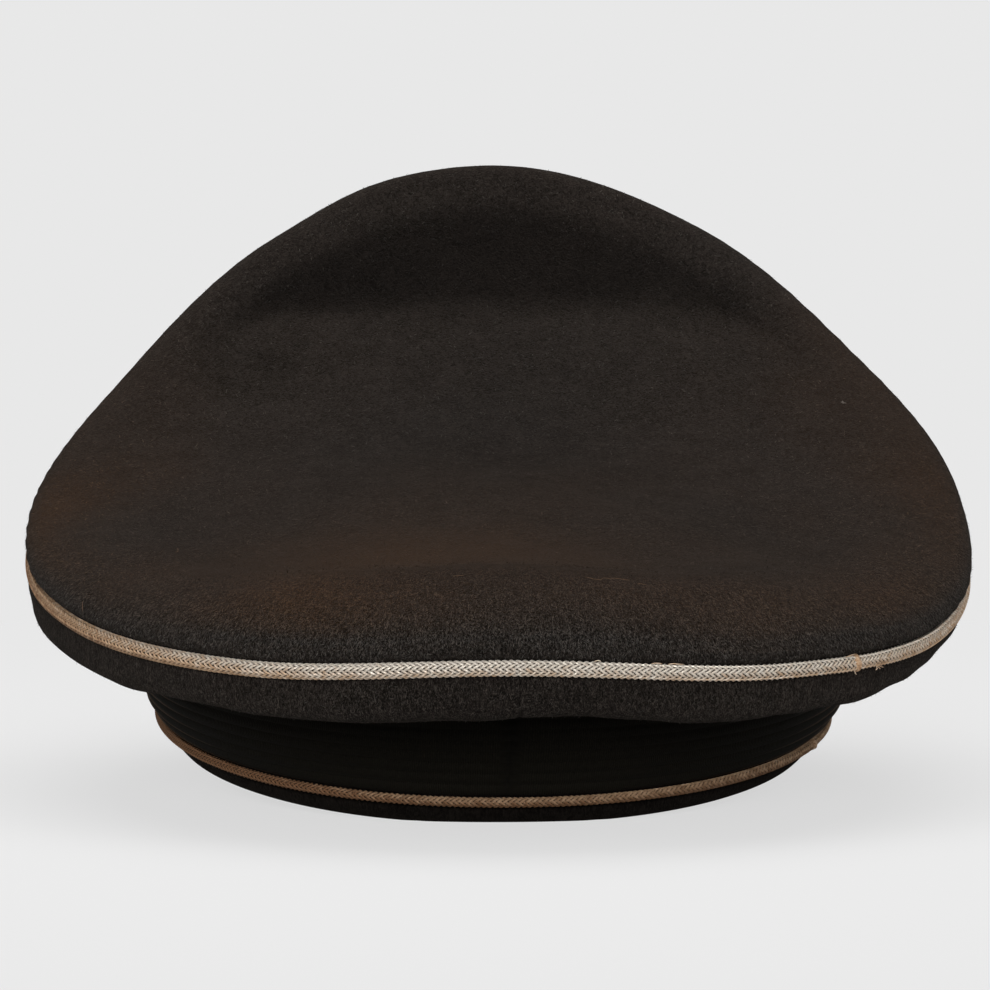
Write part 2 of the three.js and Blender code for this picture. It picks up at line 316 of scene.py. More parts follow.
@dataclass(frozen=True)
class WearAndPaintedLight:
    """Where dust settles on a sheet of cloth, where its nap is fuzzed up, and where light and shade are
    painted into its colour.

    Dust lies where the cloth faces up. The nap is fuzzed grey where the back of the cloth hangs upright.
    Painted shade darkens the cloth where it tilts well away from level, as on the steep slope behind the high
    front; the back and the rolled edge are kept in painted light. Places are in millimetres, and how far the
    cloth faces up is 1 where it lies level.
    """

    # The first three fields are painted light kept on the rolled edge, the share of fuzz, and extra painted
    # shade.
    rolled: Array | float = 0.0
    fuzziness: Array | float = 1.0
    painted_shade: Array | float = 0.0
    rear_from: float = -20.0
    rear_to: float = 90.0
    side_from: float = 70.0
    side_to: float = 115.0
    middle_width: float = 45.0
    front_dust: float = 0.15
    side_dust: float = 1.1
    middle_dust: float = 0.68
    # How much of the painted light the middle keeps; the rest is painted shade.
    middle_painted_light: float = 0.81
    dusty_up: Pair = (0.5, 0.9)
    fuzzed_up: Pair = (1.0, 0.58)
    # Where the painted light rises as the cloth turns to face up.
    painted_light_up: Pair = (0.64, 0.81)

    def put_on(self, piece: bpy.types.Object) -> None:
        """Marks the dust, the fuzz and the painted light and shade on a sheet of cloth."""
        points, facing_up = points_of(piece.data), normals_of(piece.data)[:, 2]
        rear = ramp(points[:, 1], self.rear_from, self.rear_to)
        beside = ramp(np.abs(points[:, 0]), self.side_from, self.side_to)
        middle = bell(points[:, 0], 0.0, self.middle_width)
        patchy = 0.75 + 0.25 * rumple(points, 60.0, 91)
        dust = ramp(facing_up, *self.dusty_up) * patchy
        dust *= np.clip(mixed(self.front_dust, 1.0, np.maximum(rear, beside)), 0, 1)
        # Painted shade also thins the dust.
        dust *= mixed(self.side_dust, self.middle_dust, middle) * (1 - 0.9 * self.painted_shade)
        fuzz = ramp(facing_up, *self.fuzzed_up) ** 0.6 * rear * self.fuzziness
        fuzz *= 0.8 + 0.2 * rumple(points, 25.0, 92)
        # Painted light: 1 where the cloth faces up, at the back and on the rolled edge, less on steep slopes
        # and in the middle; 0 is full painted shade.
        painted_light = np.maximum(np.maximum(ramp(facing_up, *self.painted_light_up), rear), self.rolled)
        painted_light *= (0.92 + 0.08 * patchy) * (1 - self.painted_shade) * mixed(1.0, self.middle_painted_light, middle)
        for key, values in (("Dust", dust), ("Fuzz", fuzz), ("Faded", painted_light)):
            mark(piece.data, key, np.clip(values, 0, 1))


def walled(piece: bpy.types.Object, thickness: float) -> bpy.types.Object:
    """Returns the sheet with a wall of a thickness in millimetres on its inner side."""
    wall = piece.modifiers.new("wall", "SOLIDIFY")
    wall.thickness = thickness * MM
    wall.offset = -1.0
    return applied(piece)


def dressed(
    piece: bpy.types.Object, material: bpy.types.Material, slot: Slot, *nodes: str
) -> bpy.types.Object:
    """Gives a piece its finish and its place on the frame, and returns it.

    Args:
        piece: The finished piece.
        material: Its finish.
        slot: The record's slot that the finish comes from; not used.
        nodes: The CAD nodes that the piece stands for.
    """
    piece.data.materials.clear()
    piece.data.materials.append(material)
    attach(piece, BODY)
    if nodes:
        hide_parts(*nodes)
    log.info("%s: %d faces", piece.name, len(piece.data.polygons))
    return piece


class Recipe:
    """Adds nodes to a shader tree, and sets or links their inputs in one step."""

    def __init__(self, tree: bpy.types.NodeTree) -> None:
        """Starts on a tree."""
        self.tree = tree

    def feed(self, node: bpy.types.Node, **inputs: object) -> None:
        """Sets or links inputs of a node.

        Args:
            node: The node.
            inputs: Its inputs by name, with spaces as underscores, or by number as in1.
        """
        for key, value in inputs.items():
            numbered = key.startswith("in") and key[2:].isdigit()
            socket = node.inputs[int(key[2:]) if numbered else key.replace("_", " ")]
            if isinstance(value, Socket):
                self.tree.links.new(value, socket)
            else:
                socket.default_value = value

    def add(self, kind: str, settings: dict | None = None, **inputs: object) -> bpy.types.Node:
        """Adds a node and returns it.

        Args:
            kind: The node's type.
            settings: Its own options.
            inputs: Its inputs, given as for feed.
        """
        node = self.tree.nodes.new(kind)
        for option, value in (settings or {}).items():
            setattr(node, option, value)
        self.feed(node, **inputs)
        return node

    def where(self) -> Socket:
        """Adds the object's own coordinates and returns them."""
        return self.add("ShaderNodeTexCoord").outputs["Object"]

    def spread(self) -> Socket:
        """Adds the coordinates along and across the cloth or the strands and returns them."""
        return self.add("ShaderNodeUVMap", {"uv_map": "Cloth"}).outputs[0]

    def marked(self, key: str) -> Socket:
        """Adds an attribute of the points and returns it."""
        return self.add("ShaderNodeAttribute", {"attribute_name": key}).outputs["Fac"]

    def shared(self, tree: bpy.types.NodeTree, **inputs: object) -> bpy.types.bpy_prop_collection:
        """Adds a shared node group and returns its outputs."""
        return self.add("ShaderNodeGroup", {"node_tree": tree}, **inputs).outputs

    def math(self, operation: str, *values: object, clamp: bool = False) -> Socket:
        """Adds a math node and returns its result."""
        inputs = {f"in{i}": value for i, value in enumerate(values)}
        return self.add("ShaderNodeMath", {"operation": operation, "use_clamp": clamp}, **inputs).outputs[0]

    def scaled(self, vector: Socket, scale: Socket) -> Socket:
        """Adds a vector or colour times a number and returns it."""
        return self.add("ShaderNodeVectorMath", {"operation": "SCALE"}, in0=vector, Scale=scale).outputs[0]

    def length(self, vector: Socket) -> Socket:
        """Adds the length of a vector and returns it."""
        return self.add("ShaderNodeVectorMath", {"operation": "LENGTH"}, in0=vector).outputs["Value"]

    def mix(self, share: object, low: object, high: object) -> Socket:
        """Adds a mix of two colours and returns its result."""
        return self.add("ShaderNodeMix", {"data_type": "RGBA"}, in0=share, in6=low, in7=high).outputs[2]

    def ranged(
        self, value: Socket, low: float, high: float, to: Pair = (0.0, 1.0)
    ) -> Socket:
        """Adds a smooth change from one range of values to another and returns its result."""
        node = self.add(
            "ShaderNodeMapRange",
            {"interpolation_type": "SMOOTHSTEP"},
            Value=value, From_Min=low, From_Max=high, To_Min=to[0], To_Max=to[1],
        )
        return node.outputs[0]

    def noise(
        self, vector: object, scale: object, detail: float = 2.0, distortion: float = 0.0
    ) -> Socket:
        """Adds a noise and returns its factor."""
        settings = {"Vector": vector, "Scale": scale, "Detail": detail, "Distortion": distortion}
        return self.add("ShaderNodeTexNoise", None, **settings).outputs["Fac"]

    def bump(
        self, height: Socket, strength: float, depth: float, **inputs: Socket
    ) -> Socket:
        """Adds a bump of a depth in metres and returns its normal."""
        node = self.add("ShaderNodeBump", None, Strength=strength, Distance=depth, Height=height, **inputs)
        return node.outputs[0]

    def glancing(self, start: float, most: float) -> Socket:
        """Adds a share that rises from 0 where the surface is seen nearly edge-on, and returns it."""
        facing = self.add("ShaderNodeLayerWeight", None, Blend=0.5).outputs["Facing"]
        return self.ranged(facing, start, 1.0, (0.0, most))


def group(
    name: str, inputs: dict[str, object], outputs: dict[str, str]
) -> tuple[Recipe, dict[str, Socket], bpy.types.Node]:
    """Starts a node group.

    Args:
        name: The group's name.
        inputs: The name and first value of each input: a number, a colour, or None for a vector.
        outputs: The name and socket type of each output.

    Returns:
        The group's recipe, its inputs as sockets by name, and its output node.
    """
    tree = bpy.data.node_groups.new(name, "ShaderNodeTree")
    for key, value in inputs.items():
        if value is None:
            tree.interface.new_socket(key, in_out="INPUT", socket_type="NodeSocketVector")
            continue
        kind = "NodeSocketFloat" if isinstance(value, float) else "NodeSocketColor"
        tree.interface.new_socket(key, in_out="INPUT", socket_type=kind).default_value = value
    for key, kind in outputs.items():
        tree.interface.new_socket(key, in_out="OUTPUT", socket_type=kind)
    source = tree.nodes.new("NodeGroupInput")
    return Recipe(tree), {key: source.outputs[key] for key in inputs}, tree.nodes.new("NodeGroupOutput")


def nap_group() -> bpy.types.NodeTree:
    """Builds the felted nap: short curly fibres that lie downwards, and soft mottling."""
    recipe, given, end = group(
        "felted_nap",
        {"Vector": None, "Fibre Size": 0.0007, "Streak": 0.5, "Mottle Size": 0.006},
        {"Height": "NodeSocketFloat", "Tone": "NodeSocketFloat"},
    )
    streak = recipe.add("ShaderNodeCombineXYZ", None, X=1.0, Y=1.0, Z=given["Streak"]).outputs[0]
    lying = recipe.add(
        "ShaderNodeVectorMath", {"operation": "MULTIPLY"}, in0=given["Vector"], in1=streak
    ).outputs[0]
    scale = recipe.math("DIVIDE", 1.0, given["Fibre Size"])
    fibres = recipe.noise(lying, scale, 3.0, 1.6)
    fine = recipe.noise(lying, recipe.math("MULTIPLY", scale, 2.7), 1.0, 0.6)
    clumps = recipe.noise(given["Vector"], recipe.math("DIVIDE", 1.0, given["Mottle Size"]), 3.0, 0.4)
    both = recipe.math("ADD", recipe.math("MULTIPLY", fibres, 0.65), recipe.math("MULTIPLY", fine, 0.35))
    tone = recipe.math("ADD", recipe.math("MULTIPLY", both, 0.86), recipe.math("MULTIPLY", clumps, 0.14))
    recipe.feed(end, Height=both, Tone=recipe.ranged(tone, 0.38, 0.64))
    return recipe.tree


def dust_group() -> bpy.types.NodeTree:
    """Builds the settled dust: soft patches, and fine specks within them."""
    plain, brown = (0.0, 0.0, 0.0, 1.0), (0.1, 0.08, 0.06, 1.0)
    recipe, given, end = group(
        "settled_dust",
        {"Vector": None, "Base": plain, "Dust": brown, "Amount": 0.3, "Patch Size": 0.06},
        {"Color": "NodeSocketColor"},
    )
    patches = recipe.noise(given["Vector"], recipe.math("DIVIDE", 1.0, given["Patch Size"]), 4.0, 0.3)
    specks = recipe.noise(given["Vector"], 2600.0, 1.0)
    soft = recipe.ranged(patches, 0.12, 0.82, (0.22, 1.0))
    speckled = recipe.math("MULTIPLY", soft, recipe.ranged(specks, 0.35, 0.75, (0.5, 1.4)))
    mask = recipe.math("MULTIPLY", speckled, given["Amount"], clamp=True)
    recipe.feed(end, Color=recipe.mix(mask, given["Base"], given["Dust"]))
    return recipe.tree


def thread_group() -> bpy.types.NodeTree:
    """Builds the fine threads that lie side by side along a strand or across a woven rib."""
    recipe, given, end = group(
        "side_by_side_threads",
        {"Vector": None, "Thread Size": 0.3, "Unevenness": 0.5},
        {"Height": "NodeSocketFloat", "Tone": "NodeSocketFloat"},
    )
    wobble = recipe.math("MULTIPLY", recipe.noise(given["Vector"], 1.2, 2.0), given["Unevenness"])
    across = recipe.add("ShaderNodeSeparateXYZ", None, Vector=given["Vector"]).outputs[1]
    shifted = recipe.math("MULTIPLY_ADD", wobble, 0.3, across)
    angle = recipe.math("MULTIPLY", recipe.math("DIVIDE", shifted, given["Thread Size"]), TAU)
    wave = recipe.math("SINE", angle)
    round_wave = recipe.math("POWER", recipe.math("MULTIPLY_ADD", wave, 0.5, 0.5), 0.6)
    uneven = recipe.noise(given["Vector"], 3.0, 2.0)
    # The tone is painted shade in the grooves between the threads, with a random unevenness.
    tone = recipe.math("MULTIPLY", round_wave, recipe.ranged(uneven, 0.25, 0.75, (0.55, 1.0)))
    recipe.feed(end, Height=round_wave, Tone=tone)
    return recipe.tree


class Groups:
    """The shared node groups, each built once."""

    def __init__(self) -> None:
        """Builds the groups."""
        self.nap = nap_group()
        self.dust = dust_group()
        self.threads = thread_group()


def begun(name: str) -> tuple[bpy.types.Material, Recipe, bpy.types.Node]:
    """Starts a material and returns it with its recipe and its surface shader."""
    material = bpy.data.materials.new(name)
    material.use_nodes = True
    tree = material.node_tree
    return material, Recipe(tree), tree.nodes["Principled BSDF"]


@dataclass(frozen=True)
class WoolFinish:
    """Felted wool with a short nap, dusty where it faces up."""

    name: str
    dark: Colour = (0.0070, 0.0056, 0.0047, 1.0)
    light: Colour = (0.0252, 0.0204, 0.0173, 1.0)
    fuzz: Colour = (0.0530, 0.0460, 0.0400, 1.0)
    dust: Colour = (0.0430, 0.0205, 0.0090, 1.0)
    # A warm painted rim light, mixed in where the cloth is seen nearly edge-on.
    edge: Colour = (0.070, 0.042, 0.023, 1.0)
    sheen_tint: Colour = (0.62, 0.52, 0.44, 1.0)
    sheen: float = 0.04
    # How bright the colour stays under full painted shade.
    painted_shade_brightness: float = 0.36
    dustiness: float = 0.78
    dust_patch: float = 0.07
    felt_size: float = 0.0011
    felt_depth: float = 0.0009
    brushed_size: float = 0.0004
    brushed_depth: float = 0.0004
    drawn_out: float = 0.42
    round_scale: float = 0.14
    crispness: float = 0.75
    grain: Pair = (-0.52, 1.05)

    def combed(self, recipe: Recipe, where: Socket) -> Socket:
        """Adds coordinates that are drawn out down the cloth, for a nap that is brushed downwards."""
        part = recipe.add("ShaderNodeSeparateXYZ", None, Vector=where).outputs
        angle = recipe.math("MULTIPLY", recipe.math("ARCTAN2", part[0], part[1]), self.round_scale)
        lengths = (recipe.length(where), part[2])
        out, up = (recipe.math("MULTIPLY", value, self.drawn_out) for value in lengths)
        return recipe.add("ShaderNodeCombineXYZ", None, X=angle, Y=out, Z=up).outputs[0]

    def material(self, groups: Groups) -> bpy.types.Material:
        """Builds the material, which reads the dust, the fuzz and the painted light from the points."""
        material, recipe, shader = begun(self.name)
        where = recipe.where()
        combed = self.combed(recipe, where)
        felt = recipe.shared(
            groups.nap, Vector=where, Fibre_Size=self.felt_size, Streak=0.4, Mottle_Size=0.008
        )
        brushed = recipe.shared(
            groups.nap, Vector=combed, Fibre_Size=self.brushed_size, Streak=1.0, Mottle_Size=0.004
        )
        fuzz = recipe.marked("Fuzz")
        plain = recipe.mix(felt["Tone"], self.dark, self.light)
        crisp = recipe.mix(recipe.ranged(brushed["Height"], 0.44, 0.68), self.dark, self.fuzz)
        fresh = recipe.mix(recipe.math("MULTIPLY", fuzz, self.crispness), plain, crisp)
        # Painted shade: the colour falls to about a third where the points' painted light is 0.
        wool = recipe.scaled(fresh, recipe.ranged(recipe.marked("Faded"), 0.0, 1.0, (self.painted_shade_brightness, 1.0)))
        amount = recipe.math("MULTIPLY", recipe.marked("Dust"), self.dustiness)
        dusty = recipe.shared(
            groups.dust, Vector=where, Base=wool, Dust=self.dust, Amount=amount, Patch_Size=self.dust_patch
        )
        grain = recipe.ranged(brushed["Height"], 0.42, 0.66, self.grain)
        contrast = recipe.math("MULTIPLY_ADD", recipe.ranged(fuzz, 0.0, 0.22), grain, 1.0)
        grained = recipe.scaled(dusty["Color"], contrast)
        felted = recipe.bump(felt["Height"], 1.0, self.felt_depth)
        # The warm edge colour is a painted rim light where the cloth is seen nearly edge-on.
        recipe.feed(
            shader,
            Base_Color=recipe.mix(recipe.glancing(0.92, 0.25), grained, self.edge),
            Normal=recipe.bump(brushed["Height"], 0.8, self.brushed_depth, Normal=felted),
            Roughness=0.95,
            Specular_IOR_Level=0.03,
            Sheen_Weight=self.sheen,
            Sheen_Roughness=0.45,
            Sheen_Tint=self.sheen_tint,
        )
        return material


@dataclass(frozen=True)
class FibreFinish:
    """Single fibres that stand up from cloth, each with its own tone and dust."""

    name: str
    dark: Colour
    light: Colour
    dusty: Colour

    def material(self) -> bpy.types.Material:
        """Builds the material, which reads each fibre's tone and dust from its points."""
        material, recipe, shader = begun(self.name)
        tone = recipe.marked("Tone")
        bright = recipe.mix(recipe.marked("Dust"), self.light, self.dusty)
        recipe.feed(
            shader,
            Base_Color=recipe.mix(tone, self.dark, bright),
            Roughness=recipe.ranged(tone, 0.0, 1.0, (0.85, 0.6)),
            Specular_IOR_Level=0.05,
        )
        return material


@dataclass(frozen=True)
class RibFinish:
    """Black mohair woven in level ribs, with fine upright threads."""

    name: str
    dark: Colour = (0.0026, 0.0022, 0.0014, 1.0)
    light: Colour = (0.0120, 0.0106, 0.0070, 1.0)
    # A warm painted rim light, mixed in where the ribs are seen nearly edge-on.
    edge: Colour = (0.085, 0.050, 0.026, 1.0)
    dust: Colour = (0.02, 0.015, 0.010, 1.0)
    thread_size: float = 0.55
    thread_depth: float = 0.00018

    def material(self, groups: Groups) -> bpy.types.Material:
        """Builds the material."""
        material, recipe, shader = begun(self.name)
        quarter = (0.0, 0.0, math.pi / 2)
        turned = recipe.add("ShaderNodeMapping", None, Vector=recipe.spread(), Rotation=quarter).outputs[0]
        threads = recipe.shared(groups.threads, Vector=turned, Thread_Size=self.thread_size, Unevenness=0.6)
        where = recipe.where()
        fuzz = recipe.noise(where, 1500.0, 2.0, 0.8)
        # Painted shade in the grooves between the rib's threads, broken up by a random fuzz.
        black = recipe.mix(recipe.math("MULTIPLY", threads["Tone"], fuzz), self.dark, self.light)
        dusty = recipe.shared(
            groups.dust, Vector=where, Base=black, Dust=self.dust, Amount=0.08, Patch_Size=0.03
        )
        # The warm edge colour is a painted rim light where the ribs are seen edge-on.
        recipe.feed(
            shader,
            Base_Color=recipe.mix(recipe.glancing(0.75, 0.8), dusty["Color"], self.edge),
            Normal=recipe.bump(recipe.math("ADD", threads["Height"], fuzz), 0.6, self.thread_depth),
            Roughness=0.8,
            Specular_IOR_Level=0.06,
            Sheen_Weight=0.01,
        )
        return material


@dataclass(frozen=True)
class BraidFinish:
    """Metal thread in silver, gone brown where it has tarnished, with painted shade in the grooves between
    its wires and grime with painted shade where it dips under.
    """

    name: str
    silver: Colour = (1.0, 0.92, 0.805, 1.0)
    tan: Colour = (0.62, 0.41, 0.245, 1.0)
    brown: Colour = (0.21, 0.098, 0.040, 1.0)
    # Grime and painted shade where the strands dip under.
    grime_and_shade: Colour = (0.060, 0.036, 0.020, 1.0)
    metallic: float = 0.38
    roughness: float = 0.27
    wire_size: float = 0.5
    wire_depth: float = 0.00012
    # How much painted shade the grooves between the wires get.
    wire_groove_shade: float = 0.2

    def material(self, groups: Groups) -> bpy.types.Material:
        """Builds the material, which reads from its points how tarnished the thread is, and its grime and
        painted shade.
        """
        material, recipe, shader = begun(self.name)
        wires = recipe.shared(
            groups.threads, Vector=recipe.spread(), Thread_Size=self.wire_size, Unevenness=0.4
        )
        spots = recipe.math("SUBTRACT", recipe.noise(recipe.where(), 700.0, 3.0, 0.5), 0.5)
        spotted = recipe.math("MULTIPLY", spots, 0.7)
        tarnish = recipe.math("ADD", recipe.marked("Tarnish"), spotted, clamp=True)
        bright = recipe.mix(recipe.ranged(tarnish, 0.0, 0.6), self.silver, self.tan)
        worn = recipe.mix(recipe.ranged(tarnish, 0.45, 1.0), bright, self.brown)
        # Painted shade: the colour browns in the grooves between the wires.
        groove_shaded = recipe.mix(self.wire_groove_shade, worn, recipe.mix(wires["Tone"], self.brown, worn))
        # Grime and painted shade where the strands dip under and along their sides.
        recipe.feed(
            shader,
            Base_Color=recipe.mix(recipe.marked("GrimeAndShade"), groove_shaded, self.grime_and_shade),
            Normal=recipe.bump(wires["Height"], 0.8, self.wire_depth),
            Roughness=recipe.ranged(tarnish, 0.0, 1.0, (self.roughness, 0.7)),
            Metallic=recipe.ranged(tarnish, 0.2, 1.0, (self.metallic, 0.15)),
        )
        return material


@dataclass(frozen=True)
class LacquerFinish:
    """Black lacquer, smooth with fine scratches and faint smears."""

    name: str
    colour: Colour = (0.0045, 0.0045, 0.005, 1.0)
    worn: Colour = (0.03, 0.026, 0.022, 1.0)
    roughness: float = 0.12
    smeared: float = 0.16
    ripple_depth: float = 0.0003

    def material(self, groups: Groups) -> bpy.types.Material:
        """Builds the material."""
        material, recipe, shader = begun(self.name)
        where = recipe.where()
        dusty = recipe.shared(
            groups.dust, Vector=where, Base=self.colour, Dust=self.worn, Amount=0.10, Patch_Size=0.025
        )
        smears = recipe.noise(where, 60.0, 4.0, 1.2)
        ripple = recipe.noise(where, 140.0, 2.0, 0.4)
        drawn = recipe.add("ShaderNodeMapping", None, Vector=where, Scale=(1.0, 9.0, 9.0)).outputs[0]
        height = recipe.math("MULTIPLY_ADD", recipe.noise(drawn, 420.0, 2.0), 0.12, ripple)
        recipe.feed(
            shader,
            Base_Color=dusty["Color"],
            Normal=recipe.bump(height, 0.25, self.ripple_depth),
            Roughness=recipe.ranged(smears, 0.3, 0.8, (self.roughness, self.roughness + self.smeared)),
            Coat_Weight=0.6,
            Coat_Roughness=0.08,
        )
        return material


def from_pattern(pattern: Pattern, place: Place) -> Place:
    """Returns a way to place points in metres, from one that places them in the pattern."""
    return lambda copy, column, row: pattern.settled(place(copy, column, row))


def turns_between(start: float, end: float, count: int, close: tuple[float, ...]) -> Array:
    """Returns turns from start to end, with closer ones beside the seams at both ends.

    Args:
        start: The first turn.
        end: The last turn.
        count: How many even steps there are.
        close: How far each closer turn stands from an end.
    """
    near = np.array(close)
    even = np.linspace(start, end, count + 1)
    even = even[(even > start + near.max() * 1.3) & (even < end - near.max() * 1.3)]
    return np.sort(np.concatenate([[start], start + near, even, end - near, [end]]))


def swelled(turn: Array, swells: tuple[tuple[float, float, float], ...]) -> Array:
    """Returns how far cloth stands out at turns, from swells that each have a turn, a width and a height."""
    return sum(height * bell(turn, middle, width) for middle, width, height in swells)


@dataclass
class CrownTop:
    """The soft top: out from behind the rim piping, over a soft roll, and down to a sunk middle."""

    pattern: Pattern
    roll_rises: tuple[float, ...] = (17, 17, 14, 11, 8, 7, 5, 6, 9, 13, 15, 17)
    roll_runs: tuple[float, ...] = (34, 32, 26, 20, 14, 11, 10, 11, 14, 20, 26, 32)
    roll_outs: tuple[float, ...] = (4, 4, 6, 8, 6, 4, 3, 4, 7, 9, 7, 4)
    middle_height: float = 68.0
    climb_power: float = 1.8
    hollow: float = 4.5
    hollow_power: float = 2.2
    hollow_in_front: float = 0.4
    seam_inset: float = 0.4
    columns: int = 288
    roll_rows: int = 26
    top_rows: int = 38
    tuck_rows: int = 3
    bulge: float = 0.9
    bulge_height: float = 2.8
    bulge_width: float = 2.6
    pucker: float = 0.2
    gathers: int = 96
    crest: Pair = (36.0, 11.0)
    # Painted shade along the crest at the back.
    crest_painted_shade: float = 0.4
    fold_height: float = 121.0
    fold_width: float = 9.0
    fold_depth: float = 1.8
    fuller: tuple[tuple[float, float, float], ...] = (
        (84.0, 10.0, -0.8), (164.0, 9.0, 1.3), (200.0, 12.0, 0.3), (257.0, 14.0, 1.5), (280.0, 9.0, -0.6),
    )
    rumples: tuple[tuple[float, float, int], ...] = ((80.0, 0.8, 3), (30.0, 0.25, 4), (12.0, 0.07, 5))

    def top_height(self, turn: Array, share: Array, roll_height: Array) -> Array:
        """Returns the top's height between its middle, at share 0, and the roll, at share 1."""
        climb = (roll_height - self.middle_height) * share**self.climb_power
        rearward = mixed(self.hollow_in_front, 1.0, np.maximum(0, np.cos(np.radians(turn))))
        return self.middle_height + climb - self.hollow * rearward * np.sin(np.pi * share**self.hollow_power)

    def section(self, turn: Array, row: Array) -> Array:
        """Returns distances from the middle and heights, for turns and rows of the section."""
        pattern = self.pattern
        reach = np.linalg.norm(pattern.rim(turn), axis=1)
        seam = pattern.seam(turn)
        run = pattern.around(self.roll_runs, turn)
        high = seam + pattern.around(self.roll_rises, turn)
        low = seam + pattern.rim_cord_up + pattern.gap
        foot = reach - self.seam_inset
        join = reach - run
        slope = (high - self.top_height(turn, 0.98 + 0 * turn, high)) / (0.02 * join)
        handle = run * 0.55
        handles = (
            np.column_stack([foot, low]),
            np.column_stack([foot + pattern.around(self.roll_outs, turn), low + 5]),
            np.column_stack([join + handle, high + handle * slope]),
            np.column_stack([join, high]),
        )
        t = np.clip((row - self.tuck_rows) / self.roll_rows, 0, 1)
        rolled = cubic(handles, t)
        share = np.clip(1 - (row - self.tuck_rows - self.roll_rows) / self.top_rows, 0, 1)
        top = np.column_stack([join * share, self.top_height(turn, share, high)])
        inner = np.column_stack([reach - pattern.tuck - pattern.gap, seam + pattern.gap / 2])
        tucked = mixed(inner, handles[0], np.clip(row / self.tuck_rows, 0, 1)[:, None])
        points = np.where((share < 1)[:, None], top, rolled)
        return np.where((row < self.tuck_rows)[:, None], tucked, points)

    def build(self) -> bpy.types.Object:
        """Builds the sheet, with its rumples and the puckers along its seam."""
        pattern = self.pattern
        rows = self.tuck_rows + self.roll_rows + self.top_rows

        def placed(_: Array, column: Array, row: Array) -> Array:
            """Places the points of the top."""
            turn = 360.0 * (column % self.columns) / self.columns
            section = self.section(turn, row)
            out = unit(pattern.rim(turn))
            return np.column_stack([out * section[:, :1], section[:, 1]])

        def marks(_: Array, column: Array, row: Array) -> dict[str, Array]:
            """Marks how far each point is from the seam along the section, and its turn."""
            turn = 360.0 * (column % self.columns) / self.columns
            run, rise = pattern.around(self.roll_runs, turn), pattern.around(self.roll_rises, turn)
            rolled = np.clip((row - self.tuck_rows) / self.roll_rows, 0, 1) * np.hypot(run, rise)
            inner = np.clip((row - self.tuck_rows - self.roll_rows) / self.top_rows, 0, 1)
            join = np.linalg.norm(pattern.rim(turn), axis=1) - run
            return {"Along": rolled + inner * join, "Turn": turn}

        piece = Weave(self.columns, rows).laid("crown_top_cloth", from_pattern(pattern, placed), marks)
        along, turn = mark_of(piece.data, "Along"), mark_of(piece.data, "Turn")
        points, around = points_of(piece.data), np.radians(turn)
        gathers = np.sin(around * self.gathers + 2.5 * np.sin(around * 7)) * (0.6 + 0.4 * np.sin(around * 5))
        heights = bell(along, self.bulge_height, self.bulge_width) * (self.bulge + self.pucker * gathers)
        for wavelength, depth, seed in self.rumples:
            heights += ramp(along, 4.0, 22.0) * depth * rumple(points, wavelength, seed)
        heights += ramp(along, 0.0, 5.0) * ramp(along, 40.0, 20.0) * swelled(turn, self.fuller)
        in_front = ramp(points[:, 1], 0.0, -30.0) * ramp(along, 12.0, 22.0)
        above = points[:, 2] - self.fold_height - 2.5 * np.sin(points[:, 0] / 22.0 + 1.0)
        heights -= in_front * self.fold_depth * bell(above, 0.0, self.fold_width)
        push(piece, heights)
        # Painted shade along the crest at the back, and painted light on the rolled edge within about 20 mm
        # of the seam.
        crest = np.clip(np.cos(around), 0, 1) * bell(along, *self.crest)
        # The fuzz thins close to the seam as painted shade beside the piping, and ends about 50 mm in from
        # the seam.
        fuzziness = mixed(0.3, 1.0, ramp(along, 1.0, 9.0)) * ramp(along, 56.0, 38.0)
        WearAndPaintedLight(ramp(along, 23.0, 15.0), fuzziness, self.crest_painted_shade * crest).put_on(piece)
        return piece


